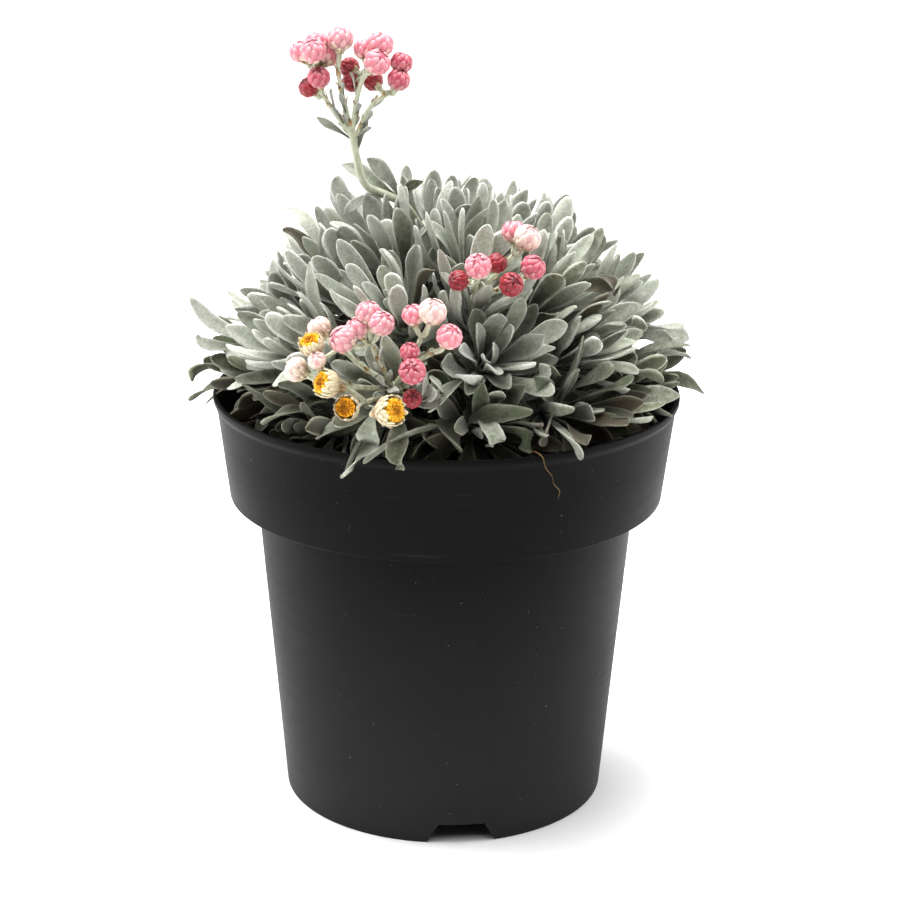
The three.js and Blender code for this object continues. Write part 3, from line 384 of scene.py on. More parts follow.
# The camera as fitted to the photograph: its place in metres, its lens and sensor in millimetres,
# how far it looks down in degrees and its roll in radians.
CAMERA_PLACE = (0.00156, -0.928, 0.4423)
FOCAL_LENGTH = 98.6
SENSOR_WIDTH = 36
CAMERA_TILT = 18.05
CAMERA_ROLL = 0.009

# Crumbs on the potting mix, and the corners round the mix and the pot.
CRUMBS = 420
SOIL_SEGMENTS = 110
POT_SEGMENTS = 144

# Sections of a blade: the place across, from -1 to 1, and 1 on the upper face or -1 on the lower.
FINE_SECTION = np.array([
    (-1, 0), (-0.86, 1), (-0.48, 1), (0, 1), (0.48, 1), (0.86, 1), (1, 0),
    (0.7, -1), (0.22, -1), (-0.22, -1), (-0.7, -1)])
SMALL_SECTION = np.array([(-1, 0), (0, 1), (1, 0), (0, -1)])


def unit(vector):
    return vector / np.linalg.norm(vector)


def unit_rows(rows):
    return rows / np.linalg.norm(rows, axis=1, keepdims=True)


def point(*values):
    return np.array(values, float)


def smoothed(knots, values, places):
    """Values at new places on a smooth curve through the values at the knots."""
    knots, values = np.asarray(knots, float), np.asarray(values, float)
    slopes = np.gradient(values, knots, axis=0)
    places = np.asarray(places, float)
    k = np.clip(np.searchsorted(knots, places, side="right") - 1, 0, len(knots) - 2)
    span = (knots[k + 1] - knots[k])[:, None]
    s = (places[:, None] - knots[k][:, None]) / span
    start = (1 + 2 * s) * (1 - s) ** 2 * values[k] + s * (1 - s) ** 2 * span * slopes[k]
    end = s * s * (3 - 2 * s) * values[k + 1] + s * s * (s - 1) * span * slopes[k + 1]
    return start + end


def direction(azimuth, elevation):
    turn, rise = math.radians(azimuth), math.radians(elevation)
    return point(math.sin(turn) * math.cos(rise), -math.cos(turn) * math.cos(rise), math.sin(rise))


def square_to(axis):
    """Two directions square to an axis and to each other."""
    first = unit(np.cross(axis, UP if abs(axis[2]) < 0.9 else point(1, 0, 0)))
    return first, np.cross(axis, first)


def around(first, other, turn):
    """The direction at a turn from the first towards the other."""
    return first * math.cos(turn) + other * math.sin(turn)


def circle_of(count, first=point(1, 0, 0), other=point(0, 1, 0)):
    """Evenly spaced points round a circle of radius 1."""
    turns = np.arange(count) * 2 * math.pi / count
    return np.outer(np.cos(turns), first) + np.outer(np.sin(turns), other)


class Skin:
    """The points and faces of one piece, with the marks that its materials read at each point:
    the share along a blade, how near its rim a point is, its age (on leaves also painted shade) and a
    tone of its own."""

    MARKS = ("along", "rim", "age", "tone")

    def __init__(self):
        self.points = []
        self.faces = []
        self.marks = []
        self.finishes = []

    def ring(self, points, **marks):
        """Adds points and returns their numbers. A mark is one value or one for each point."""
        start = sum(len(p) for p in self.points)
        self.points.append(np.asarray(points, float))
        columns = [np.broadcast_to(marks.get(name, 0.0), len(points)) for name in self.MARKS]
        self.marks.append(np.stack(columns, axis=1))
        return list(range(start, start + len(points)))

    def face(self, corners, finish):
        self.faces.append(tuple(corners))
        self.finishes.append(finish)

    def bridge(self, lower, upper, finish):
        for i in range(len(lower)):
            j = (i + 1) % len(lower)
            self.face((lower[i], lower[j], upper[j], upper[i]), finish)

    def loft(self, rings, finish, start=None, end=None, **marks):
        """A closed skin over rings, each end a point if one is given."""
        numbers = [self.ring(ring, **{k: v[i] for k, v in marks.items()}) for i, ring in enumerate(rings)]
        for lower, upper in zip(numbers, numbers[1:]):
            self.bridge(lower, upper, finish)
        last = {k: float(np.mean(v[-1])) for k, v in marks.items()}
        self.close(numbers[0][::-1], start, finish, **{k: float(np.mean(v[0])) for k, v in marks.items()})
        self.close(numbers[-1], end, finish, **last)

    def close(self, ring, tip, finish, **marks):
        if tip is None:
            self.face(ring, finish)
            return
        (top,) = self.ring([tip], **marks)
        for i, a in enumerate(ring):
            self.face((a, ring[(i + 1) % len(ring)], top), finish)

    def piece(self, name, materials, smooth=True):
        """The skin as an object in metres, whose faces take the materials by their finish."""
        points = np.concatenate(self.points) * MM
        mesh = bpy.data.meshes.new(name)
        mesh.from_pydata(points.tolist(), [], self.faces)
        mesh.polygons.foreach_set("material_index", self.finishes)
        mesh.polygons.foreach_set("use_smooth", [smooth] * len(self.faces))
        marks = np.concatenate(self.marks)
        for column, mark in enumerate(self.MARKS):
            layer = mesh.attributes.new(mark, "FLOAT", "POINT")
            layer.data.foreach_set("value", marks[:, column].astype(np.float32))
        for material in materials:
            mesh.materials.append(material)
        mesh.validate()
        mesh.update()
        made = bpy.data.objects.new(name, mesh)
        bpy.context.scene.collection.objects.link(made)
        return made


def finished(piece, slot, *nodes):
    """Sets a piece on the frame in place of its nodes."""
    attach(piece, "root")
    if nodes:
        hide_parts(*nodes)
    return piece


def add_blade(skin, centres, sides, uppers, halves, *, section, thickness, cup, tip, finish, **marks):
    """A thin curved leaf or bract. Cup is how far its rims stand over its middle, as a share of the
    half width, and may differ along it, as the marks may."""
    across, face = section[:, 0], section[:, 1]
    lens = np.sqrt(np.clip(1 - across**2, 0, 1)) * face * thickness / 2
    cups = np.broadcast_to(cup, len(centres))
    rings = []
    for centre, side, upper, half, rise in zip(centres, sides, uppers, halves, cups):
        height = lens * min(1, 0.35 + half) + rise * half * (across**2 - 0.35)
        rings.append(centre + np.outer(across * half, side) + np.outer(height, upper))
    spread = {"rim": [np.abs(across) ** 3] * len(rings)}
    for name, values in marks.items():
        spread[name] = np.broadcast_to(values, len(rings))
    skin.loft(rings, finish, end=tip, **spread)


def add_tube(skin, path, radii, sides, finish, **marks):
    """A bar along a path with a radius at each point."""
    path = np.asarray(path, float)
    tangents = np.gradient(path, axis=0)
    across = square_to(unit(tangents[0]))[0]
    rings = []
    for centre, tangent, radius in zip(path, tangents, radii):
        tangent = unit(tangent)
        across = unit(across - tangent * (across @ tangent))
        other = np.cross(tangent, across)
        rings.append(centre + radius * circle_of(sides, across, other))
    skin.loft(rings, finish, **{k: np.broadcast_to(v, len(rings)) for k, v in marks.items()})


def eased(path, count):
    """More points along a path, on a smooth curve through its own."""
    path = np.asarray(path, float)
    knots = np.concatenate([[0], np.cumsum(np.linalg.norm(np.diff(path, axis=0), axis=1))])
    return smoothed(knots, path, np.linspace(0, knots[-1], count))


# Leaves.


def leaf_line(root, axis, outward, tilt, bend, length):
    """A leaf that bends evenly in the plane of its shoot's axis and its heading: the places and
    frames at the knots. Its upper face looks towards the axis."""
    start, turn = math.radians(tilt), math.radians(bend if abs(bend) > 1 else 1)
    across = unit(np.cross(axis, outward))
    centres, uppers = [], []
    for along in LEAF_KNOTS:
        angle = start + turn * along
        up = (math.sin(angle) - math.sin(start)) / turn * length
        out = (math.cos(start) - math.cos(angle)) / turn * length
        centres.append(root + axis * up + outward * out)
        uppers.append(axis * math.sin(angle) - outward * math.cos(angle))
    return np.array(centres), np.array([across] * len(LEAF_KNOTS)), np.array(uppers)


def leaf_of(line, width, age, rng):
    """A leaf along a line, with its own twist, sideways sweep, curl, channel and rim. Old leaves
    are the most crooked."""
    s = LEAF_STATIONS
    centres, sides, uppers = (smoothed(LEAF_KNOTS, part, s) for part in line)
    length = np.linalg.norm(np.diff(line[0], axis=0), axis=1).sum()
    sweep = rng.gauss(0, SWEEP[0] + SWEEP[1] * age) * length
    curl = (rng.gauss(0, CURL[0] + CURL[1] * age) + rng.choice(TIP_CURLS)) * length
    twist = rng.gauss(0, TWIST[0] + TWIST[1] * age)
    pointed = rng.random() ** 2.5
    late = np.clip((s - 0.25) / 0.75, 0, 1)
    turn = twist * late
    swept, curled = sweep * (late**2 - 0.35 * late), curl * late**3
    centres = centres + sides * swept[:, None] + uppers * curled[:, None]
    turned_sides = sides * np.cos(turn)[:, None] + uppers * np.sin(turn)[:, None]
    turned_uppers = uppers * np.cos(turn)[:, None] - sides * np.sin(turn)[:, None]
    halves = (1 - pointed) * ROUND_HALVES + pointed * POINTED_HALVES
    return SimpleNamespace(
        centres=centres,
        sides=unit_rows(turned_sides),
        uppers=unit_rows(turned_uppers),
        tip=line[0][-1] + sides[-1] * sweep * 0.65 + uppers[-1] * curl,
        halves=width * halves * rng.uniform(0.86, 1.02),
        age=age,
        tone=rng.random(),
        channel=rng.uniform(0.1, 0.55) * (1 - 0.5 * age),
        wave=rng.uniform(0.05, 0.26) + 0.2 * age * rng.random(),
        beat=rng.uniform(6, 11),
        phase=rng.uniform(0, 6),
    )


def leaf_points(leaf, first=0.0):
    """Points over the leaf, from a share of its length outwards."""
    far = LEAF_STATIONS >= first
    rows = [
        leaf.centres[far] + leaf.sides[far] * (leaf.halves[far] * across)[:, None]
        for across in (-1, -0.5, 0, 0.5, 1)
    ]
    return np.concatenate([*rows, [leaf.tip]])


def long_leaves(shoot, crowd, rng):
    """The listed leaves, each bent from its shoot through a point to its tip."""
    leaves = []
    for way, tip, width, age, roll, fold in LONG_LEAVES.get(shoot.name, []):
        leaf = leaf_of(bent_line(shoot.joints[0], point(*way), point(*tip), roll), width, age, rng)
        leaf.channel = fold
        crowd.add_leaf(leaf)
        leaves.append(leaf)
    return leaves


def bent_line(root, way, tip, roll):
    """Places and frames at the knots of a leaf that passes through a point on its way, with its
    upper face turned up and then rolled."""
    bend = 2 * way - (root + tip) / 2
    centres, sides, uppers = [], [], []
    for s in LEAF_KNOTS:
        forward = unit((1 - s) * (bend - root) + s * (tip - bend))
        upper = unit(UP - forward * (UP @ forward))
        side = np.cross(forward, upper)
        turn = math.radians(roll)
        centres.append((1 - s) ** 2 * root + 2 * s * (1 - s) * bend + s * s * tip)
        sides.append(side * math.cos(turn) + upper * math.sin(turn))
        uppers.append(upper * math.cos(turn) - side * math.sin(turn))
    return np.array(centres), np.array(sides), np.array(uppers)


def add_leaf(skin, leaf, finish):
    """A leaf with a channel down its middle and rims that wave."""
    across, face = FINE_SECTION[:, 0], FINE_SECTION[:, 1]
    halves = leaf.halves[:, None]
    lens = np.sqrt(np.clip(1 - across**4, 0, 1)) * face * LEAF_THICKNESS / 2
    height = lens * np.minimum(1, 0.4 + 0.4 * halves)
    height = height + leaf.channel * halves * (np.abs(across) ** 1.6 - 0.4)
    beats = leaf.beat * LEAF_STATIONS[:, None] + leaf.phase + 1.7 * np.sign(across)
    height = height + leaf.wave * halves * np.sin(beats) * np.abs(across) ** 2
    rings = (leaf.centres[:, None] + leaf.sides[:, None] * (halves * across)[..., None]
             + leaf.uppers[:, None] * height[..., None])
    skin.loft(
        list(rings), finish, end=leaf.tip, along=LEAF_STATIONS, rim=[np.abs(across) ** 8] * len(rings),
        age=[leaf.age] * len(rings), tone=[leaf.tone] * len(rings),
    )


def welded(node):
    """A node's points, each once, in millimetres, and its triangles by their numbers."""
    mesh = node.data
    mesh.calc_loop_triangles()
    points = np.array([v.co for v in mesh.vertices]) / MM
    rounded, first, number = np.unique(points.round(3), axis=0, return_index=True, return_inverse=True)
    triangles = number.reshape(-1)[np.array([t.vertices[:] for t in mesh.loop_triangles])]
    return points[first], triangles


def packed_leaves(node):
    """The leaves of a shoot's node, each found from its tip inwards by its three-cornered rings."""
    points, triangles = welded(node)
    near = [set() for _ in points]
    for corners in triangles:
        for i in corners:
            near[i].update(corners)
    for tip in range(len(points)):
        near[tip].discard(tip)
    for tip in range(len(points)):
        seen, rings = {tip}, []
        ring = near[tip]
        while len(ring) == 3 and len(rings) < 3:
            rings.append(sorted(ring))
            seen |= ring
            ring = set().union(*(near[i] for i in ring)) - seen
        if len(rings) == 3 and len(ring) in (4, 5):
            yield points[tip], [points[r] for r in rings[::-1]], points[sorted(ring)].mean(axis=0)


def packed_line(tip, rings, root):
    """The places and frames at the knots of a packed leaf, and its width."""
    middles, sides, uppers, widths = [], [], [], []
    for ring in rings:
        lengths = [np.linalg.norm(ring[(i + 1) % 3] - ring[(i + 2) % 3]) for i in range(3)]
        keel = int(np.argmax(lengths))
        left, right = ring[(keel + 1) % 3], ring[(keel + 2) % 3]
        edge = (left + right) / 2
        middles.append((edge + ring[keel]) / 2)
        uppers.append(unit(edge - ring[keel]))
        sides.append(unit(right - left))
        widths.append(lengths[keel])
    centres = np.array([root, *middles, tip])
    for i in range(3):
        forward = centres[i + 2] - centres[i]
        if np.cross(uppers[i], forward) @ sides[i] > 0:
            sides[i] = -sides[i]
    line = centres, np.array([sides[0], *sides, sides[-1]]), np.array([uppers[0], *uppers, uppers[-1]])
    return line, widths[1]


def shoot_frame(name):
    """A shoot's axis, and its stem from its foot in the soil to its apex."""
    azimuth, elevation = SHOOTS[name]
    axis = direction(azimuth, elevation)
    crown = point(0, 0, SOIL_TOP) + axis * SHOOT_REACH
    foot = point(crown[0] * FOOT_SPREAD, crown[1] * FOOT_SPREAD, SOIL_TOP)
    joints = [crown + axis * (WHORL_START + WHORL_STEP * i) for i in range(WHORLS + 1)]
    shoulder = foot + (joints[0] - foot) * SHOULDER_SHARE + UP * SHOULDER_RISE
    bottom = foot - UP * (HOLE_DEPTH - STEM_GAP)
    return SimpleNamespace(
        name=name, axis=axis, crown=crown, joints=joints, apex=joints[-1] + axis * BUD_LENGTH,
        stem=[bottom, foot, shoulder, *joints], elevation=elevation,
    )


def own_leaves(shoot, node, rng):
    """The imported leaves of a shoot. Those of the lowest whorl are older, and the long ones that
    hang over the soil are the oldest."""
    leaves = []
    for tip, rings, root in packed_leaves(node):
        if np.linalg.norm(root - shoot.crown) > ROOT_REACH:
            continue
        line, width = packed_line(tip, rings, root)
        line = nudged(line, rng)
        height = (root - shoot.crown) @ shoot.axis - WHORL_START
        length = np.linalg.norm(np.diff(line[0], axis=0), axis=1).sum()
        whorl = min(WHORLS - 1, int(height / WHORL_STEP))
        age = WHORL_AGES[whorl] + (LONG_LEAF_AGE if length > LONG_LEAF else 0)
        leaves.append(leaf_of(line, width, age_with_painted_shade(shoot, tip, age, rng), rng))
    return leaves


def nudged(line, rng):
    """The line turned by a few degrees about its root."""
    axis = unit(point(rng.gauss(0, 1), rng.gauss(0, 1), rng.gauss(0, 1)))
    turn = np.array(Matrix.Rotation(math.radians(rng.gauss(0, NUDGE)), 3, Vector(axis)))
    centres, sides, uppers = line
    return (centres - centres[0]) @ turn.T + centres[0], sides @ turn.T, uppers @ turn.T


def age_with_painted_shade(shoot, tip, age, rng):
    """Leaves are older and darker near the soil, deep in the mound and on some shoots: real age, with
    painted shade where the mound is in shade.
    """
    age = age + SHOOT_AGE_AND_PAINTED_SHADE.get(shoot.name, 0)
    low = np.clip((LOW_LEAVES - tip[2] + rng.gauss(0, 5)) / LOW_DEPTH, 0, 1)
    depth = np.clip((MOUND_REACH - np.linalg.norm(tip - point(0, 0, SOIL_TOP))) / INNER_DEPTH, 0, 1)
    return float(np.clip(age + LOW_AGE_AND_SHADE * low + INNER_AGE_AND_SHADE * depth + rng.uniform(-0.08, 0.14), 0, 1))


class Crowd:
    """What new leaves keep clear of: points on the leaves that there are, stalks and heads."""

    def __init__(self):
        self.points = np.empty((0, 3))
        self.starts, self.ends, self.radii = [], [], []

    def add_leaf(self, leaf):
        self.points = np.concatenate([self.points, leaf_points(leaf, 0.3)])

    def add_path(self, path, radius):
        for start, end in zip(path, path[1:]):
            self.starts.append(start)
            self.ends.append(end)
            self.radii.append(radius)

    def is_clear(self, points, gap):
        low, high = points.min(axis=0) - gap, points.max(axis=0) + gap
        near = self.points[((self.points > low) & (self.points < high)).all(axis=1)]
        if len(near) and np.linalg.norm(near[:, None] - points[None], axis=2).min() < gap:
            return False
        return self.clear_of_bars(points, gap) and clear_of_pot(points)

    def clear_of_bars(self, points, gap):
        starts = np.array(self.starts, float)
        spans = np.array(self.ends, float) - starts
        away = points[:, None] - starts[None]
        share = np.clip((away * spans).sum(axis=2) / (spans * spans).sum(axis=1), 0, 1)
        distances = np.linalg.norm(away - share[..., None] * spans, axis=2)
        return bool((distances > np.array(self.radii) + gap / 2).all())


def clear_of_pot(points):
    r, z = np.hypot(points[:, 0], points[:, 1]), points[:, 2]
    inside = r <= RIM_RADIUS - WALL_ZONE
    in_wall = ~inside & (r < RIM_RADIUS + RIM_GAP) & (z < POT_HEIGHT + RIM_GAP)
    in_soil = inside & (z < SOIL_TOP + SOIL_LEAF_GAP)
    too_far = (r > RIM_RADIUS + OVERHANG) | ((r > RIM_RADIUS) & (z < POT_HEIGHT - DROOP))
    return not (in_wall | in_soil | too_far).any()


def grown(crowd, ways, width, age, gap, rng):
    """A leaf set in the first of these ways that is clear of the crowd, if there is one."""
    for way in ways:
        leaf = leaf_of(leaf_line(*way), width, age, rng)
        if crowd.is_clear(leaf_points(leaf, 0.35), gap):
            crowd.add_leaf(leaf)
            return [leaf]
    return []


def aged(shoot, leaves, age, rng):
    """The leaves, each aged by where its tip is, which also darkens them as painted shade."""
    for leaf in leaves:
        leaf.age = age_with_painted_shade(shoot, leaf.tip, age, rng)
    return leaves


def heart_leaves(shoot, crowd, rng):
    """The small young leaves that stand round a shoot's apex."""
    first, other = square_to(shoot.axis)
    leaves = []
    for i in range(HEART_LEAVES):
        turn = i * GOLDEN + rng.uniform(-0.2, 0.2)
        outward = around(first, other, turn)
        root = shoot.joints[-1] + shoot.axis * (0.5 * i) + outward * 0.5
        length = 25 - 1.9 * i + rng.uniform(-1.5, 1.5)
        ways = [
            (root, shoot.axis, outward, 15 - 1.5 * i - back, rng.uniform(-6, 6), length * (1 - back / 40))
            for back in (0, 4)
        ]
        # Heart leaves take part of their shoot's added age, which is partly painted shade.
        age = 0.6 * SHOOT_AGE_AND_PAINTED_SHADE.get(shoot.name, 0)
        leaves += grown(crowd, ways, 7.0 - 0.4 * i, age, CLOSE_GAP, rng)
    return leaves


def filling_leaves(shoot, crowd, rng):
    """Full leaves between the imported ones, from the top of the shoot down."""
    first, other = square_to(shoot.axis)
    leaves = []
    count = SPARSE_LEAVES if shoot.name in SPARSE_SHOOTS else FILLING_LEAVES
    for i in range(count):
        share = i / (count - 1)
        root_height = 7.5 - 14 * share
        tilt = 18 + 50 * share + rng.uniform(-9, 9)
        length = 33 + 6 * share + rng.uniform(-5, 4)
        ways = []
        for trial in range(8):
            turn = i * GOLDEN + 1.1 + trial * rng.uniform(0.2, 0.5)
            outward = around(first, other, turn)
            root = shoot.crown + shoot.axis * root_height + outward * 1.2
            bend = rng.uniform(-22, 14) + 30 * max(0, -outward[2])
            ways.append((root, shoot.axis, outward, tilt - 2 * trial, bend, length - trial))
        new = grown(crowd, ways, rng.uniform(7.4, 9.4), 0.1, OPEN_GAP, rng)
        leaves += aged(shoot, new, 0.2 * share, rng)
    return leaves


def old_leaves(shoot, crowd, rng):
    """Dull old leaves on the stem under the whorls, which close the inside of the mound; their dark
    olive also stands in for the shade there.
    """
    stem = eased(shoot.stem[1:4], 16)
    along = unit(shoot.joints[0] - shoot.stem[2])
    first, other = square_to(along)
    leaves = []
    for i in range(OLD_LEAVES):
        place = stem[4 + i * 12 // OLD_LEAVES]
        ways = []
        for trial in range(6):
            turn = i * GOLDEN + 0.6 * trial
            outward = around(first, other, turn)
            tilt = rng.uniform(48, 86)
            bend, length = rng.uniform(-10, 26), rng.uniform(24, 38)
            ways.append((place + outward * 1.5, along, outward, tilt, bend, length))
        leaves += grown(crowd, ways, rng.uniform(7.5, 9.5), rng.uniform(0.72, 1), CLOSE_GAP, rng)
    return leaves


# Sprays.


def head_frames(spray):
    """Every head of a spray by bunch, with its base, height, way and the end of its branch."""
    bunches = {}
    for name, (colour, branch, heads) in spray["bunches"].items():
        end = point(*spray["branches"][branch][-1])
        made = []
        for middle, size, *aim in heads:
            middle = point(*middle)
            way = unit(point(*aim[0])) if aim else unit(unit(middle - end) + UP * HEAD_UPTURN)
            height = size * (OPEN_HEIGHT if aim else CLOSED_HEIGHT)
            made.append(SimpleNamespace(
                middle=middle, radius=size / 2, height=height, aim=way, open=bool(aim),
                base=middle - way * height / 2, end=end,
            ))
        bunches[name] = SimpleNamespace(colour=colour, heads=made)
    return bunches


def add_spray(skin, spray, shoot, bunches, rng, felt, dry):
    """The stalk, branches and pedicels, their small leaves, and dry scales at forks and necks."""
    stalk = [shoot.joints[-1], *spray["stalk"]]
    path = eased(stalk, 6 * len(stalk))
    radii = np.linspace(STALK_RADIUS * 1.1, STALK_RADIUS, len(path))
    add_tube(skin, path, radii, 10, felt, age=0.0, tone=0.6)
    for branch in spray["branches"].values():
        path = eased(branch, 5 * len(branch))
        add_tube(skin, path, np.linspace(BRANCH_RADIUS, BRANCH_RADIUS * 0.82, len(path)), 8, felt, tone=0.7)
        along = unit(path[-1] - path[0])
        for share in SCALE_PLACES:
            add_scale(skin, path[int(share * len(path))], along, BRANCH_RADIUS * 0.9, rng, dry)
        for share in STALK_LEAF_PLACES:
            add_stalk_leaf(skin, path[int(share * len(path))], along, rng)
    for bunch in bunches.values():
        for head in bunch.heads:
            knee = head.base - head.aim * KNEE_LENGTH
            path = eased([head.end, knee, head.base + head.aim * 0.8], 9)
            add_tube(skin, path, np.linspace(PEDICEL_RADIUS, PEDICEL_RADIUS * 1.5, 9), 7, felt, tone=0.8)
            for _ in range(NECK_SCALES):
                place = head.base - head.aim * rng.uniform(0.4, 2.2)
                add_scale(skin, place, head.aim, PEDICEL_RADIUS, rng, dry)
    for root, way, tip, width, age, roll in spray["small_leaves"]:
        line = bent_line(point(*root), point(*way), point(*tip), roll)
        leaf = leaf_of(line, width, age, rng)
        leaf.halves = width * POINTED_HALVES
        add_leaf(skin, leaf, 0)


def add_stalk_leaf(skin, place, along, rng):
    """A narrow pale leaf pressed to a stalk."""
    first, other = square_to(along)
    turn = rng.uniform(0, 2 * math.pi)
    outward = around(first, other, turn)
    line = leaf_line(place + outward * BRANCH_RADIUS * 0.5, along, outward, 24, -14, rng.uniform(5, 9))
    add_leaf(skin, leaf_of(line, rng.uniform(1.8, 2.8), 0.1, rng), 0)


def add_scale(skin, place, along, radius, rng, dry, reach=1):
    """A tiny dry bract that stands off a stalk."""
    first, other = square_to(along)
    turn = rng.uniform(0, 2 * math.pi)
    outward = around(first, other, turn)
    side = np.cross(along, outward)
    length = rng.uniform(1.8, 3.8) * reach
    shares = np.array([0, 0.4, 0.8])
    centres = np.array([place + outward * (radius * 0.8 + s * 1.1) + along * length * s for s in shares])
    add_blade(
        skin, centres, [side] * 3, [outward] * 3, np.array([0.8, 0.9, 0.45]), section=SMALL_SECTION,
        thickness=0.3, cup=-0.3, tip=centres[-1] + along * length * 0.25 + outward * 0.4, finish=dry,
        along=shares, tone=rng.random(),
    )


# Flower heads.


BRACT_SHARES = np.array([0, 0.25, 0.5, 0.72, 0.9])
BRACT_HALVES = np.array([0.6, 0.9, 1.0, 0.85, 0.48])
BRACT_SECTION = np.array([(-1, 0), (-0.5, 1), (0, 1), (0.5, 1), (1, 0), (0, -1)])


def add_closed_head(skin, head, rng, finish, count):
    """A globe of papery bracts: short ones round its foot, and long ones that close over its top."""
    first, other = square_to(head.aim)
    r, squeeze = head.radius, head.height / 2 / head.radius
    add_globe(skin, head.middle, first, other, head.aim, r * 0.86, r * 0.86 * squeeze, finish)
    twist = rng.uniform(0, 6)
    size = math.sqrt(40 / count)
    for i in range(count):
        share = (i + 0.5) / count
        turn = i * GOLDEN + twist
        radial = around(first, other, turn)
        side = np.cross(head.aim, radial)
        end = math.radians(40 + 134 * share**0.8) + rng.uniform(-0.04, 0.04)
        start = max(math.radians(5), end - math.radians(34 + 50 * share) * size)
        lift = r * (1.0 - 0.09 * share)
        centres, uppers = [], []
        for s in (*BRACT_SHARES, 1.0):
            polar = start + (end - start) * s
            out = radial * math.sin(polar) - head.aim * math.cos(polar) * squeeze
            centres.append(head.middle + out * (lift - r * 0.05 + r * 0.07 * math.sin(s * 2.4)))
            uppers.append(unit(out))
        width = r * (0.25 + 0.13 * share) * size * rng.uniform(0.92, 1.08)
        narrowed = width * BRACT_HALVES * np.clip([1.15 * math.sin(start + (end - start) * s) + 0.25
                                                   for s in BRACT_SHARES], 0, 1)
        add_blade(
            skin, centres[:-1], [side] * 5, uppers[:-1], narrowed, section=BRACT_SECTION,
            thickness=0.5, cup=-0.34, tip=centres[-1], finish=finish, along=BRACT_SHARES,
            age=share, tone=rng.random(),
        )


def add_globe(skin, middle, first, other, axis, radius, rise, finish):
    circle = circle_of(14, first, other)
    polars = [math.radians(a) for a in range(20, 170, 20)]
    rings = [middle + circle * radius * math.sin(p) - axis * rise * math.cos(p) for p in polars]
    ages = [0.5 - 0.5 * math.cos(p) for p in polars]
    skin.loft(
        rings, finish, start=middle - axis * rise, end=middle + axis * rise,
        age=ages, tone=[0.5] * len(rings), along=[0.2] * len(rings),
    )


def add_open_head(skin, head, rng, finish):
    """A cup of broad dry bracts that stand up round the disc, the outer ones shorter."""
    first, other = square_to(head.aim)
    knots = np.linspace(0, 1, 5)
    radii = np.array([0.25, 0.7, 0.93, 1.0, 0.98])
    heights = np.array([0.02, 0.2, 0.46, 0.74, 0.98])
    places = np.append(BRACT_SHARES, 1.0)
    for i in range(OPEN_BRACTS):
        share = i / (OPEN_BRACTS - 1)
        turn = i * GOLDEN + rng.uniform(-0.1, 0.1)
        radial = around(first, other, turn)
        reach = 0.42 + 0.58 * share**0.8 + rng.uniform(-0.05, 0.05)
        across = smoothed(knots, radii[:, None], places * reach)[:, 0] * head.radius * (1.05 - 0.17 * share)
        along = smoothed(knots, heights[:, None], places * reach)[:, 0] * head.height
        across = across + rng.uniform(-0.03, 0.1) * head.radius * places**3 * (1 - 0.6 * share)
        centres = head.base + np.outer(across, radial) + np.outer(along, head.aim)
        side = np.cross(head.aim, radial)
        uppers = [unit(np.cross(side, unit(run))) for run in np.gradient(centres, axis=0)]
        add_blade(
            skin, centres[:-1], [side] * 5, uppers[:-1], head.radius * 0.3 * BRACT_HALVES,
            section=BRACT_SECTION, thickness=0.35, cup=-0.3, tip=centres[-1], finish=finish,
            along=BRACT_SHARES, age=share, tone=rng.random(),
        )


def add_disc(skin, head, rng, finish, bright):
    """A low dome of tiny florets in the mouth of an open head."""
    first, other = square_to(head.aim)
    radius = head.radius * 0.76
    floor = head.base + head.aim * head.height * 0.66
    circle = circle_of(24, first, other)
    rings = [floor + circle * radius * r + head.aim * head.height * h
             for r, h in ((0.55, -0.2), (0.98, 0), (0.96, 0.14), (0.6, 0.19))]
    marks = {"along": [0.8 * bright, bright, 0.9 * bright, 0.3 * bright], "tone": [0.2] * 4}
    skin.loft(rings, finish, end=floor + head.aim * head.height * 0.2, **marks)
    for i in range(DISC_FLORETS):
        share = math.sqrt((i + 0.5) / DISC_FLORETS)
        turn = i * GOLDEN + rng.uniform(-0.1, 0.1)
        radial = around(first, other, turn)
        way = unit(head.aim + radial * rng.uniform(0.1, 0.7) * share)
        place = floor + radial * radius * share * 0.97 + head.aim * head.height * (0.2 - 0.07 * share**2)
        size = radius * 0.078 * rng.uniform(0.8, 1.25)
        stand = rng.uniform(0.2, 1.0)
        add_tube(
            skin, [place - way * 0.4, place + way * stand * 0.6, place + way * stand],
            [size, size * 1.2, size * 0.5], 5, finish, along=share * bright, tone=rng.random(),
        )


# Pot and potting mix.


def wall_radius(z):
    return BASE_RADIUS + (NECK_RADIUS - BASE_RADIUS) * z / COLLAR_BOTTOM


def collar_radius(z):
    lip = POT_HEIGHT - LIP_HEIGHT
    return COLLAR_BOTTOM_RADIUS + (RIM_RADIUS - LIP_FLARE - COLLAR_BOTTOM_RADIUS) * (z - COLLAR_BOTTOM) / (
        lip - COLLAR_BOTTOM)


def turned(name, profile, segments, material):
    """A profile of (radius, height) turned round the Z axis, as an object in metres."""
    skin = Skin()
    circle = circle_of(segments)
    rings = [circle * r + UP * z for r, z in profile[1:-1]]
    skin.loft(rings, 0, start=UP * profile[0][1], end=UP * profile[-1][1])
    return skin.piece(name, [material])


def rounded(profile, radius, steps=4):
    """The profile with each inner corner replaced by a short arc."""
    made = [profile[0]]
    for before, corner, after in zip(profile, profile[1:], profile[2:]):
        a, b, c = (np.array(p, float) for p in (before, corner, after))
        cut = min(radius, np.linalg.norm(b - a) / 2.2, np.linalg.norm(c - b) / 2.2)
        start, end = b + unit(a - b) * cut, b + unit(c - b) * cut
        for s in np.linspace(0, 1, steps):
            made.append(tuple((1 - s) ** 2 * start + 2 * s * (1 - s) * b + s * s * end))
    return [*made, profile[-1]]


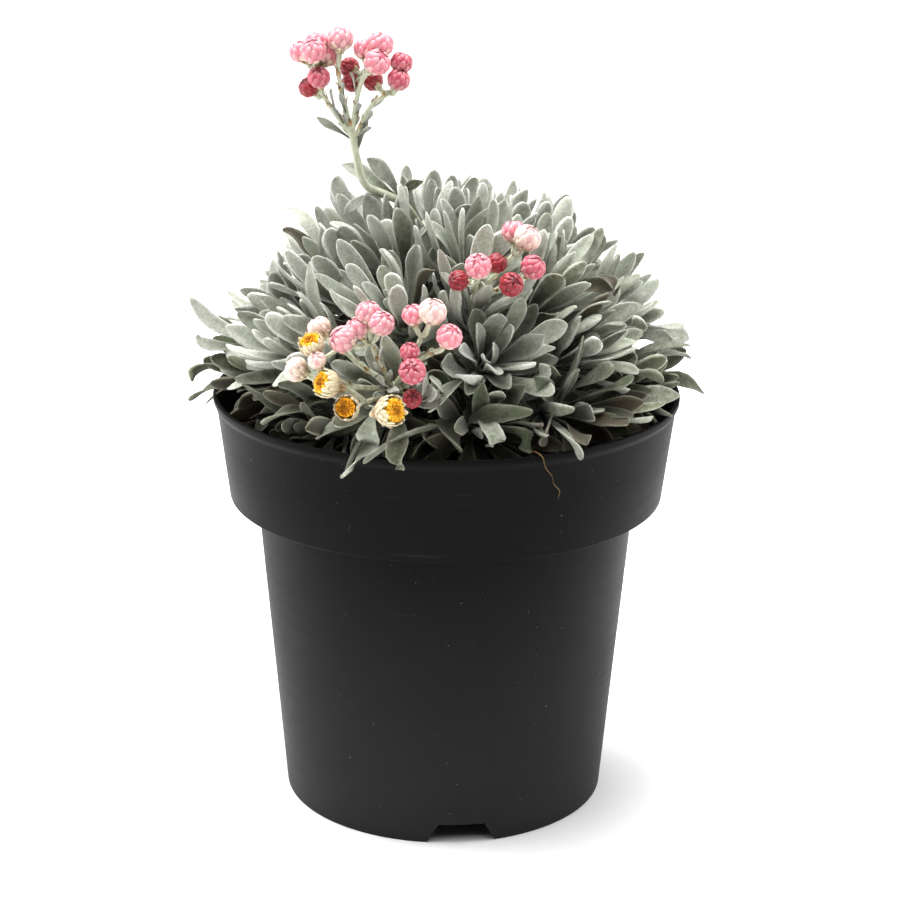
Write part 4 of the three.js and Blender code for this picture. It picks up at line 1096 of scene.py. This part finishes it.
def pot_profile():
    lip = POT_HEIGHT - LIP_HEIGHT
    outside = [
        (0, 0), (FOOT_RADIUS, 0), (FOOT_RADIUS + 2, FLOOR_HEIGHT), (BASE_RADIUS - WALL - 0.6, FLOOR_HEIGHT),
        (BASE_RADIUS - WALL, 0), (BASE_RADIUS, 0), (wall_radius(60), 60), (NECK_RADIUS, COLLAR_BOTTOM),
        (COLLAR_BOTTOM_RADIUS, COLLAR_BOTTOM), (collar_radius(145), 145), (collar_radius(lip), lip),
        (RIM_RADIUS, POT_HEIGHT - 2.4), (RIM_RADIUS, POT_HEIGHT),
    ]
    inside = [
        (RIM_RADIUS - WALL, POT_HEIGHT), (collar_radius(lip) - WALL, lip),
        (COLLAR_BOTTOM_RADIUS - WALL, COLLAR_BOTTOM + WALL), (NECK_RADIUS - WALL, COLLAR_BOTTOM + WALL),
        (wall_radius(FLOOR_HEIGHT + WALL) - WALL, FLOOR_HEIGHT + WALL),
        (FOOT_RADIUS + 2 - WALL / 2, FLOOR_HEIGHT + WALL), (FOOT_RADIUS - WALL, WALL), (0, WALL),
    ]
    return rounded([*outside, *inside], 0.7)


def cutter(skin, bottom, top, inner, outer, azimuth):
    """A trapezoid prism from inner to outer along an azimuth, given by (half width, height)."""
    out = direction(azimuth, 0)
    side = np.cross(UP, out)
    corners = [(-bottom[0], bottom[1]), (bottom[0], bottom[1]), (top[0], top[1]), (-top[0], top[1])]
    rings = [np.array([out * r + side * x + UP * z for x, z in corners]) for r in (inner, outer)]
    skin.loft(rings, 0)


def pot_piece(material):
    """The pot, with its drain notches and holes cut."""
    pot = turned("pot_black_plastic", pot_profile(), POT_SEGMENTS, material)
    skin = Skin()
    flare = (NOTCH_WIDTH_LOW - NOTCH_WIDTH_HIGH) / 2 / NOTCH_HEIGHT
    for azimuth in NOTCH_AZIMUTHS:
        bottom = (NOTCH_WIDTH_LOW / 2 + flare, -1)
        top = (NOTCH_WIDTH_HIGH / 2, NOTCH_HEIGHT)
        cutter(skin, bottom, top, NOTCH_START, NOTCH_START + NOTCH_REACH, azimuth)
        middle = direction(azimuth, 0) * DRAIN_RING_RADIUS
        drain = [middle + UP * (FLOOR_HEIGHT - 2), middle + UP * (FLOOR_HEIGHT + WALL + 2)]
        add_tube(skin, drain, [DRAIN_RADIUS] * 2, 24, 0)
    tool = skin.piece("notch_tool", [material], smooth=False)
    cut = pot.modifiers.new("cut", "BOOLEAN")
    cut.operation, cut.solver, cut.object = "DIFFERENCE", "EXACT", tool
    applied(pot)
    bpy.data.objects.remove(tool)
    sharpen(pot, 38)
    return finished(pot, "pot_plastic", "pot")


def applied(piece):
    """Bakes a piece's modifiers into its mesh."""
    bpy.context.view_layer.update()
    evaluated = piece.evaluated_get(bpy.context.evaluated_depsgraph_get())
    mesh = bpy.data.meshes.new_from_object(evaluated)
    piece.modifiers.clear()
    piece.data = mesh


def sharpen(piece, angle):
    """Shades a piece smooth, but for edges over an angle in degrees."""
    mesh = piece.data
    mesh.polygons.foreach_set("use_smooth", [True] * len(mesh.polygons))
    with_edges = bmesh.new()
    with_edges.from_mesh(mesh)
    for edge in with_edges.edges:
        edge.smooth = edge.calc_face_angle(0) < math.radians(angle)
    with_edges.to_mesh(mesh)
    with_edges.free()


def soil_height(x, y):
    turn = math.atan2(y, x)
    wave = math.sin(math.hypot(x, y) / 9 + 2 * turn) * math.cos(3 * turn)
    coarse = noise.noise(Vector((x, y, 7)) / 6) + 0.6 * noise.noise(Vector((x, y, 3)) / 2.4)
    return SOIL_TOP - SOIL_DROP + SOIL_RELIEF * wave + 1.1 * coarse


def soil_piece(material, thread, rng):
    """The potting mix: crumbs and bits of bark on an uneven top, and a fine root over the rim."""
    skin = Skin()
    circle = circle_of(SOIL_SEGMENTS)
    edge = collar_radius(SOIL_TOP - SOIL_DROP) - WALL - SOIL_GAP
    low = COLLAR_BOTTOM + WALL + SOIL_GAP
    rings = [
        circle * (FOOT_RADIUS - WALL - SOIL_GAP) + UP * (WALL + SOIL_GAP),
        circle * (FOOT_RADIUS + 1) + UP * (FLOOR_HEIGHT + WALL + SOIL_GAP),
        circle * (wall_radius(FLOOR_HEIGHT) - WALL - SOIL_GAP) + UP * (FLOOR_HEIGHT + WALL + SOIL_GAP),
        circle * (NECK_RADIUS - WALL - SOIL_GAP) + UP * low,
        circle * (COLLAR_BOTTOM_RADIUS - WALL - SOIL_GAP) + UP * low,
        circle * edge + UP * (SOIL_TOP - SOIL_DROP - 2),
    ]
    for r in np.linspace(edge - 0.6, 2, 46):
        flat = circle * r
        rings.append(np.array([(x, y, soil_height(x, y)) for x, y, _ in flat]))
    skin.loft(rings, 0, start=UP * (WALL + SOIL_GAP), end=UP * soil_height(0, 0))
    for _ in range(CRUMBS):
        add_crumb(skin, edge, rng)
    path = [direction(az, 0) * r + UP * z for az, r, z in (
        (19, 78, 150), (20, 85, 160), (21, 89.5, 166.8), (22, 92.2, 165.8), (23, 92.6, 161),
        (25, 91.4, 157), (25.6, 91, 154), (27.4, 90.4, 150.5), (27.2, 89.8, 147.5))]
    fine = eased(path, 40)
    add_tube(skin, fine, np.linspace(0.42, 0.14, 40), 5, 1, tone=0.5)
    return finished(skin.piece("potting_mix", [material, thread]), "potting_mix", "soil")


def add_crumb(skin, edge, rng):
    """An uneven lump on the potting mix."""
    turn, r = rng.uniform(0, 2 * math.pi), (edge - 3) * math.sqrt(rng.uniform(0.03, 1))
    x, y = r * math.cos(turn), r * math.sin(turn)
    size = 0.5 + 1.3 * rng.random() ** 3
    middle = point(x, y, soil_height(x, y) + size * 0.3)
    stretch = point(rng.uniform(0.8, 1.6), rng.uniform(0.7, 1.1), rng.uniform(0.5, 0.9))
    swing = rng.uniform(0, math.pi)
    cos, sin = math.cos(swing), math.sin(swing)
    spin = np.array([[cos, -sin, 0], [sin, cos, 0], [0, 0, 1]])
    rings = []
    for polar in (0.7, 1.5, 2.4):
        turns = np.arange(6) * math.pi / 3 + polar
        circle = np.stack([np.cos(turns), np.sin(turns)], axis=1) * math.sin(polar)
        ball = np.column_stack([circle, [math.cos(polar)] * 6])
        rough = np.array([[rng.uniform(0.75, 1.15)] for _ in range(6)])
        rings.append(middle + (ball * rough * size * stretch) @ spin.T)
    low, high = middle - UP * size * 0.5, middle + UP * size * 0.6
    skin.loft(rings[::-1], 0, start=low, end=high, tone=[rng.random()] * 3)


# Materials.


def linear(code):
    """A colour code such as 0x8090A0 as linear red, green, blue and alpha."""
    values = [((code >> shift) & 255) / 255 for shift in (16, 8, 0)]
    return (*(v / 12.92 if v <= 0.04045 else ((v + 0.055) / 1.055) ** 2.4 for v in values), 1)


class Finish:
    """A material with one Principled shader, and short ways to wire what drives it."""

    def __init__(self, name, roughness, specular=0.5):
        self.material = bpy.data.materials.new(name)
        self.material.use_nodes = True
        self.nodes, self.links = self.material.node_tree.nodes, self.material.node_tree.links
        self.shader = self.nodes["Principled BSDF"]
        self.set("Roughness", roughness)
        self.set("Specular IOR Level", specular)
        self.place = self.nodes.new("ShaderNodeTexCoord").outputs["Object"]

    def set(self, socket, value):
        self.shader.inputs[socket].default_value = value

    def wire(self, node, inputs):
        for key, value in inputs.items():
            if isinstance(value, bpy.types.NodeSocket):
                self.links.new(value, node.inputs[key])
            else:
                node.inputs[key].default_value = value
        return node

    def mark(self, name):
        node = self.nodes.new("ShaderNodeAttribute")
        node.attribute_name = name
        return node.outputs["Fac"]

    def noise(self, scale, detail=3.0, roughness=0.55, stretch=None):
        place = self.place
        if stretch:
            mapping = self.nodes.new("ShaderNodeMapping")
            place = self.wire(mapping, {"Vector": place, "Scale": stretch}).outputs[0]
        node = self.nodes.new("ShaderNodeTexNoise")
        inputs = {"Vector": place, "Scale": scale, "Detail": detail, "Roughness": roughness}
        return self.wire(node, inputs).outputs["Fac"]

    def sums(self, operation, a, b, clamp=False):
        node = self.nodes.new("ShaderNodeMath")
        node.operation, node.use_clamp = operation, clamp
        return self.wire(node, {0: a, 1: b}).outputs[0]

    def ramp(self, factor, *stops):
        """A colour by factor, from stops of (place, colour code)."""
        node = self.nodes.new("ShaderNodeValToRGB")
        elements = node.color_ramp.elements
        while len(elements) < len(stops):
            elements.new(0.5)
        for element, (place, code) in zip(elements, stops):
            element.position, element.color = place, linear(code)
        return self.wire(node, {"Fac": factor}).outputs["Color"]

    def spread(self, factor, low, high, least=0.0, most=1.0):
        node = self.nodes.new("ShaderNodeMapRange")
        inputs = {"Value": factor, "From Min": low, "From Max": high, "To Min": least, "To Max": most}
        return self.wire(node, inputs).outputs["Result"]

    def mix(self, factor, a, b, blend="MIX"):
        node = self.nodes.new("ShaderNodeMix")
        node.data_type, node.blend_type = "RGBA", blend
        a, b = (linear(v) if isinstance(v, int) else v for v in (a, b))
        return self.wire(node, {0: factor, 6: a, 7: b}).outputs[2]

    def grey(self, value):
        """A number as a grey colour."""
        node = self.nodes.new("ShaderNodeCombineColor")
        return self.wire(node, {0: value, 1: value, 2: value}).outputs[0]

    def varied(self, name, reach):
        """A mark from 0 to 1, varied by each blade's own tone."""
        tone = self.spread(self.mark("tone"), 0, 1, -reach, reach)
        return self.sums("ADD", self.mark(name), tone, clamp=True)

    def colour(self, socket):
        self.links.new(socket, self.shader.inputs["Base Color"])

    def shaded_colour(self, socket, shade):
        """Sets the colour, made darker or lighter by a number."""
        self.colour(self.mix(1.0, socket, self.grey(shade), "MULTIPLY"))

    def roughness(self, socket):
        self.links.new(socket, self.shader.inputs["Roughness"])

    def bump(self, height, distance, strength=1.0):
        node = self.nodes.new("ShaderNodeBump")
        self.wire(node, {"Height": height, "Distance": distance, "Strength": strength})
        self.links.new(node.outputs["Normal"], self.shader.inputs["Normal"])


def felt_material():
    """Silver felt over green, greener and darker towards the root, pale at the rim, and olive when old
    and where the mound is in painted shade; the darkening at the root is partly painted shade too.
    """
    made = Finish("felted_leaf", 0.85, 0.25)
    made.set("Sheen Weight", 0.2)
    made.set("Sheen Roughness", 0.5)
    age = made.mark("age")
    mottle = made.noise(300, 5, 0.7)
    # The age mark carries real age and painted shade, so this darkens leaves in the mound's shade as well
    # as old ones.
    felt_age_and_shade = made.sums("ADD", age, made.spread(mottle, 0.3, 0.7, -0.17, 0.17), clamp=True)
    silver = made.ramp(
        felt_age_and_shade, (0, 0xBCBFB3), (0.28, 0x9EA392), (0.55, 0x696D57), (0.8, 0x454836), (1, 0x4A4032))
    # Darker towards each leaf's root: partly its greener base, partly painted shade where the leaves
    # overlap.
    root = made.spread(made.mark("along"), 0.05, 0.75, 1, 0)
    colour = made.mix(root, silver, made.ramp(felt_age_and_shade, (0, 0x485137), (0.6, 0x23271A)))
    patches = made.spread(made.noise(110, 3), 0.48, 0.66)
    green = made.sums("MULTIPLY", patches, made.spread(age, 0.4, 0.8, 0, 0.7))
    colour = made.mix(green, colour, 0x3C5030)
    rim = made.sums("MULTIPLY", made.mark("rim"), made.spread(age, 0.3, 1, 0.9, 0.5))
    colour = made.mix(rim, colour, made.ramp(felt_age_and_shade, (0, 0xF0F1EA), (0.7, 0xB8B7A0)))
    shade = made.spread(made.mark("tone"), 0, 1, 0.68, 1.16)
    grain = made.spread(made.noise(1000, 4, 0.75), 0.3, 0.7, 0.68, 1.2)
    made.shaded_colour(colour, made.sums("MULTIPLY", shade, grain))
    made.bump(made.noise(1700, 4), 0.0004, 0.6)
    return made.material


def stalk_material():
    """Pale felted stalk, streaked along its length."""
    made = Finish("felted_stalk", 0.8, 0.25)
    made.set("Sheen Weight", 0.25)
    streak = made.noise(500, 3, stretch=(1, 1, 0.3))
    made.colour(made.ramp(streak, (0.3, 0xB0B698), (0.55, 0xD0D5BC), (0.8, 0xE2E4D2)))
    made.bump(made.noise(1800, 2), 0.0002, 0.4)
    return made.material


def dry_material():
    """Dry brown scales with pale bases."""
    made = Finish("dry_scale", 0.7, 0.3)
    made.colour(made.ramp(made.varied("along", 0.3), (0, 0xD2C9AC), (0.6, 0xAE9266), (1, 0x6E4C2C)))
    made.bump(made.noise(1800, 2), 0.0001, 0.5)
    return made.material


# Bunches whose heads, or whose first head alone, have another paper than their slot's, and the
# open heads whose discs are ripe and brown.
OTHER_PAPERS = {"heads_front_left": "blush", "head_top_tallest": "blush", "heads_top_right_low": "rose"}
FIRST_PAPERS = {"heads_middle_pale": "pink", "heads_front_white": "pink", "heads_top_left_low": "rose"}
RIPE_DISCS = ("head_front_open_low",)

# How many bracts a closed head has, and the colours of bracts: at a head's foot, on its side, at
# its top, and at each bract's rim.
BRACT_COUNTS = {"pink": 30, "rose": 34, "red": 34, "pale": 26}
PAPERS = {
    "pink": (0xE6CFBA, 0xE38290, 0xD9667B, 0xF2C6C8),
    "blush": (0xDCCAB2, 0xDF969F, 0xD67788, 0xEFCDC9),
    "rose": (0xCC9692, 0xC04C60, 0xB0344A, 0xE2A0A8),
    "red": (0xA03238, 0x96081C, 0x740614, 0xB43C4A),
    "pale": (0xC8B68E, 0xE6CABE, 0xE2AAAC, 0xF4E2D6),
    "cream": (0x8E7348, 0xC6B48A, 0xDCCEA8, 0xF2E6C8),
}


def paper_material(name):
    foot, side, top, rim = PAPERS[name]
    made = Finish(f"{name}_bracts", 0.42, 0.5)
    made.set("Sheen Weight", 0.1)
    body = made.ramp(made.varied("age", 0.1), (0.08, foot), (0.45, side), (0.72, side), (0.95, top))
    edge = made.sums("MULTIPLY", made.mark("rim"), 0.4)
    tipped = made.spread(made.mark("along"), 0.55, 0.95, 0, 0.6)
    colour = made.mix(made.sums("MAXIMUM", edge, tipped), body, rim)
    vein = made.noise(1600, 2)
    # Each bract darker towards its base: painted shade where it comes out from under the bracts over it.
    under = made.spread(made.mark("along"), 0.1, 0.5, 0.66, 1)
    shade = made.sums("MULTIPLY", under, made.spread(vein, 0.3, 0.7, 0.9, 1.06))
    made.shaded_colour(colour, shade)
    made.bump(vein, 0.00012, 0.4)
    return made.material


def disc_material():
    """Tiny florets, bright at the rim of the disc and browner at its middle."""
    made = Finish("disc_florets", 0.8, 0.3)
    place = made.varied("along", 0.25)
    made.colour(made.ramp(place, (0.1, 0x8A5410), (0.4, 0xD08A0E), (0.7, 0xF4B41C), (1, 0xFBD048)))
    made.bump(made.noise(2600, 2), 0.0001, 0.6)
    return made.material


def pot_material():
    """Matt black moulded plastic with haze, fine scuffs and specks of dust, and lighter towards its foot:
    painted light bounced up from the floor, with a little dust.
    """
    made = Finish("pot_plastic", 0.5, 0.05)
    haze = made.noise(14, 3)
    body = made.ramp(haze, (0.35, 0x080808), (0.7, 0x0D0D0D))
    split = made.wire(made.nodes.new("ShaderNodeSeparateXYZ"), {0: made.place})
    # Lighter towards the foot: painted light from the floor's bounce, with a little dust.
    height = made.sums("ADD", split.outputs["Z"], made.sums("MULTIPLY", haze, 0.04))
    body = made.mix(made.spread(height, 0.02, 0.14, 1, 0), body, 0x29292A)
    specks = made.spread(made.noise(900, 1), 0.79, 0.82)
    body = made.mix(made.sums("MULTIPLY", specks, 0.5), body, 0x8A8780)
    scuffs = made.noise(120, 2, 0.7, stretch=(0.25, 0.25, 3))
    body = made.mix(made.spread(scuffs, 0.66, 0.8, 0, 0.2), body, 0x3A3A3A)
    made.colour(body)
    rubbed = made.sums("ADD", haze, made.spread(scuffs, 0.5, 0.8, 0, 0.3))
    made.roughness(made.spread(rubbed, 0.3, 1, 0.46, 0.6))
    made.bump(made.noise(700, 3), 0.00005, 0.35)
    return made.material


def soil_material():
    made = Finish("potting_mix", 0.95, 0.15)
    crumbs = made.noise(350, 5, 0.7)
    colour = made.ramp(crumbs, (0.3, 0x120D0A), (0.55, 0x2B1F17), (0.75, 0x4A3727))
    tone = made.spread(made.mark("tone"), 0, 1, 0.8, 1.5)
    made.shaded_colour(colour, tone)
    made.bump(made.noise(900, 5, 0.7), 0.0008, 0.9)
    return made.material


def root_material():
    made = Finish("fine_root", 0.8, 0.2)
    made.colour(made.ramp(made.noise(300, 2), (0.3, 0x3B2A1B), (0.7, 0x77603F)))
    return made.material


def floor_material():
    made = Finish("pale_floor", 0.9, 0.1)
    made.colour(made.ramp(made.noise(2, 1), (0, 0xFBFBFB), (1, 0xFDFDFD)))
    return made.material


# The whole plant.


def whole_crowd(shoots, all_bunches, leaves):
    """Everything that is there before leaves are added."""
    crowd = Crowd()
    for shoot in shoots.values():
        crowd.add_path(shoot.stem[1:], STEM_RADIUS - 1.2)
        for leaf in leaves[shoot.name]:
            crowd.add_leaf(leaf)
    for name, spray in SPRAYS.items():
        crowd.add_path([shoots[name].joints[-1], *spray["stalk"]], STALK_RADIUS)
        for branch in spray["branches"].values():
            crowd.add_path(branch, BRANCH_RADIUS)
        for bunch in all_bunches[name].values():
            for head in bunch.heads:
                crowd.add_path([head.end, head.base], PEDICEL_RADIUS)
                crowd.add_path([head.middle, head.middle + head.aim * 0.1], head.radius * 1.05)
    return crowd


def add_stem(skin, shoot, felt):
    path = eased(shoot.stem, 26)
    radii = np.interp(np.linspace(0, 1, 26), [0, 0.7, 1], [STEM_RADIUS, STEM_RADIUS, TIP_RADIUS])
    add_tube(skin, path, radii, 10, felt, tone=0.2, age=0.8)
    add_tube(skin, [path[-1], shoot.apex], [TIP_RADIUS * 0.9, 0.4], 8, felt, tone=0.6)


def plant(nodes):
    shoots = {name: shoot_frame(name) for name in SHOOTS}
    bunches = {name: head_frames(spray) for name, spray in SPRAYS.items()}
    leaves = {}
    for index, (name, shoot) in enumerate(shoots.items()):
        leaves[name] = own_leaves(shoot, nodes[name], random.Random(index))
    crowd = whole_crowd(shoots, bunches, leaves)
    makers = ((long_leaves, 500), (heart_leaves, 100), (filling_leaves, 200), (old_leaves, 300))
    for maker, seed in makers:
        for index, (name, shoot) in enumerate(shoots.items()):
            leaves[name] += maker(shoot, crowd, random.Random(seed + index))
    finishes = [felt_material(), stalk_material(), dry_material()]
    for index, (name, shoot) in enumerate(shoots.items()):
        skin = Skin()
        add_stem(skin, shoot, 1)
        for leaf in leaves[name]:
            add_leaf(skin, leaf, 0)
        if name in SPRAYS:
            add_spray(skin, SPRAYS[name], shoot, bunches[name], random.Random(400 + index), 1, 2)
        finished(skin.piece(f"{name}_leaves", finishes), "felted_leaf", name)
    papers = {name: paper_material(name) for name in PAPERS}
    florets = disc_material()
    for name in SPRAYS:
        for bunch_name, bunch in bunches[name].items():
            paper = OTHER_PAPERS.get(bunch_name, bunch.colour)
            first = FIRST_PAPERS.get(bunch_name, paper)
            bunch_piece(bunch_name, bunch, [papers[paper], finishes[2], papers[first]], florets)


def bunch_piece(name, bunch, finish, florets):
    """The heads of a bunch, with dry scales round their feet."""
    skin = Skin()
    rng = random.Random(name)
    for head in bunch.heads:
        if not head.open:
            add_closed_head(skin, head, rng, 2 if head is bunch.heads[0] else 0, BRACT_COUNTS[bunch.colour])
            continue
        add_open_head(skin, head, rng, 0)
        disc = Skin()
        add_disc(disc, head, rng, 0, RIPE if name in RIPE_DISCS else 1)
        finished(disc.piece(f"{name}_florets", [florets]), "disc", f"{name}_disc")
    for head in bunch.heads:
        count, low, reach = (36, -3, 1.5) if head.open else (16, -1.2, 1)
        for _ in range(count):
            place = head.base + head.aim * rng.uniform(low, 0.6)
            add_scale(skin, place, head.aim, head.radius * rng.uniform(0.25, 0.5), rng, 1, reach)
    finished(skin.piece(f"{name}_bracts", finish), f"{bunch.colour}_bracts", name)


# Studio.


def add_light(name, location, target, size, power):
    light = bpy.data.lights.new(name, "AREA")
    light.shape, light.size, light.size_y, light.energy = "RECTANGLE", size[0], size[1], power
    made = bpy.data.objects.new(name, light)
    made.location = location
    made.rotation_euler = (Vector(target) - Vector(location)).to_track_quat("-Z", "Y").to_euler()
    bpy.context.scene.collection.objects.link(made)


def sky(world):
    """Light from all round, with a dark room behind the camera."""
    world.use_nodes = True
    nodes, links = world.node_tree.nodes, world.node_tree.links
    place = nodes.new("ShaderNodeTexCoord")
    split = nodes.new("ShaderNodeSeparateXYZ")
    links.new(place.outputs["Generated"], split.inputs[0])
    bright = nodes.new("ShaderNodeMapRange")
    bright.interpolation_type = "SMOOTHSTEP"
    links.new(split.outputs["Y"], bright.inputs["Value"])
    for key, value in {"From Min": -0.93, "From Max": -0.15, "To Min": 0.01, "To Max": 0.28}.items():
        bright.inputs[key].default_value = value
    links.new(bright.outputs["Result"], nodes["Background"].inputs["Strength"])
    nodes["Background"].inputs["Color"].default_value = (1, 1, 1, 1)


def studio():
    scene = bpy.context.scene
    floor = bpy.data.meshes.new("floor")
    reach = 9
    corners = [(-reach, -reach, 0), (reach, -reach, 0), (reach, reach, 0), (-reach, reach, 0)]
    floor.from_pydata(corners, [], [(0, 1, 2, 3)])
    floor.materials.append(floor_material())
    ground = bpy.data.objects.new("floor", floor)
    scene.collection.objects.link(ground)
    ground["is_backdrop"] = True
    world = bpy.data.worlds.new("studio")
    sky(world)
    scene.world = world
    add_light("ceiling", (0, 0.2, 3.2), (0, 0.2, 0), (6.5, 6.5), 200)
    add_light("key", (-0.35, 0.15, 1.9), (0, 0, 0.2), (1.4, 1.4), 60)
    add_light("left", (-1.3, 0.3, 0.4), (0, 0, 0.1), (0.5, 1), 9)
    add_light("right", (1.3, 0.3, 0.4), (0, 0, 0.1), (0.5, 1), 9)
    scene.view_settings.view_transform = "Standard"


def photo_camera():
    """The photograph's viewpoint: level with the flowers, looking down on the pot."""
    data = bpy.data.cameras.new("camera")
    data.lens, data.sensor_width = FOCAL_LENGTH, SENSOR_WIDTH
    made = bpy.data.objects.new("camera", data)
    pitch = math.radians(90 - CAMERA_TILT)
    turn = Matrix.Rotation(pitch, 4, "X") @ Matrix.Rotation(CAMERA_ROLL, 4, "Z")
    made.matrix_world = Matrix.Translation(CAMERA_PLACE) @ turn
    bpy.context.scene.collection.objects.link(made)
    bpy.context.scene.camera = made


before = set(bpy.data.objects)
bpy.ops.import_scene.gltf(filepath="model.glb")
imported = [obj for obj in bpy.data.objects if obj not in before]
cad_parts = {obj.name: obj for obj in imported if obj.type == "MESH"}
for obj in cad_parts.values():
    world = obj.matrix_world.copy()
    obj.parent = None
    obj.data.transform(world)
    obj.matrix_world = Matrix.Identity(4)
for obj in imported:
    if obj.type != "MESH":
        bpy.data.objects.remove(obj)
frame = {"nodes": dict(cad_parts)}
packed_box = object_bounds()
photo_camera()
studio()
pot_piece(pot_material())
soil_piece(soil_material(), root_material(), random.Random(11))
plant(frame["nodes"])

boxes = {"packed": packed_box, "visual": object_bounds()}
{key: [list(corner) for corner in box] for key, box in boxes.items()}
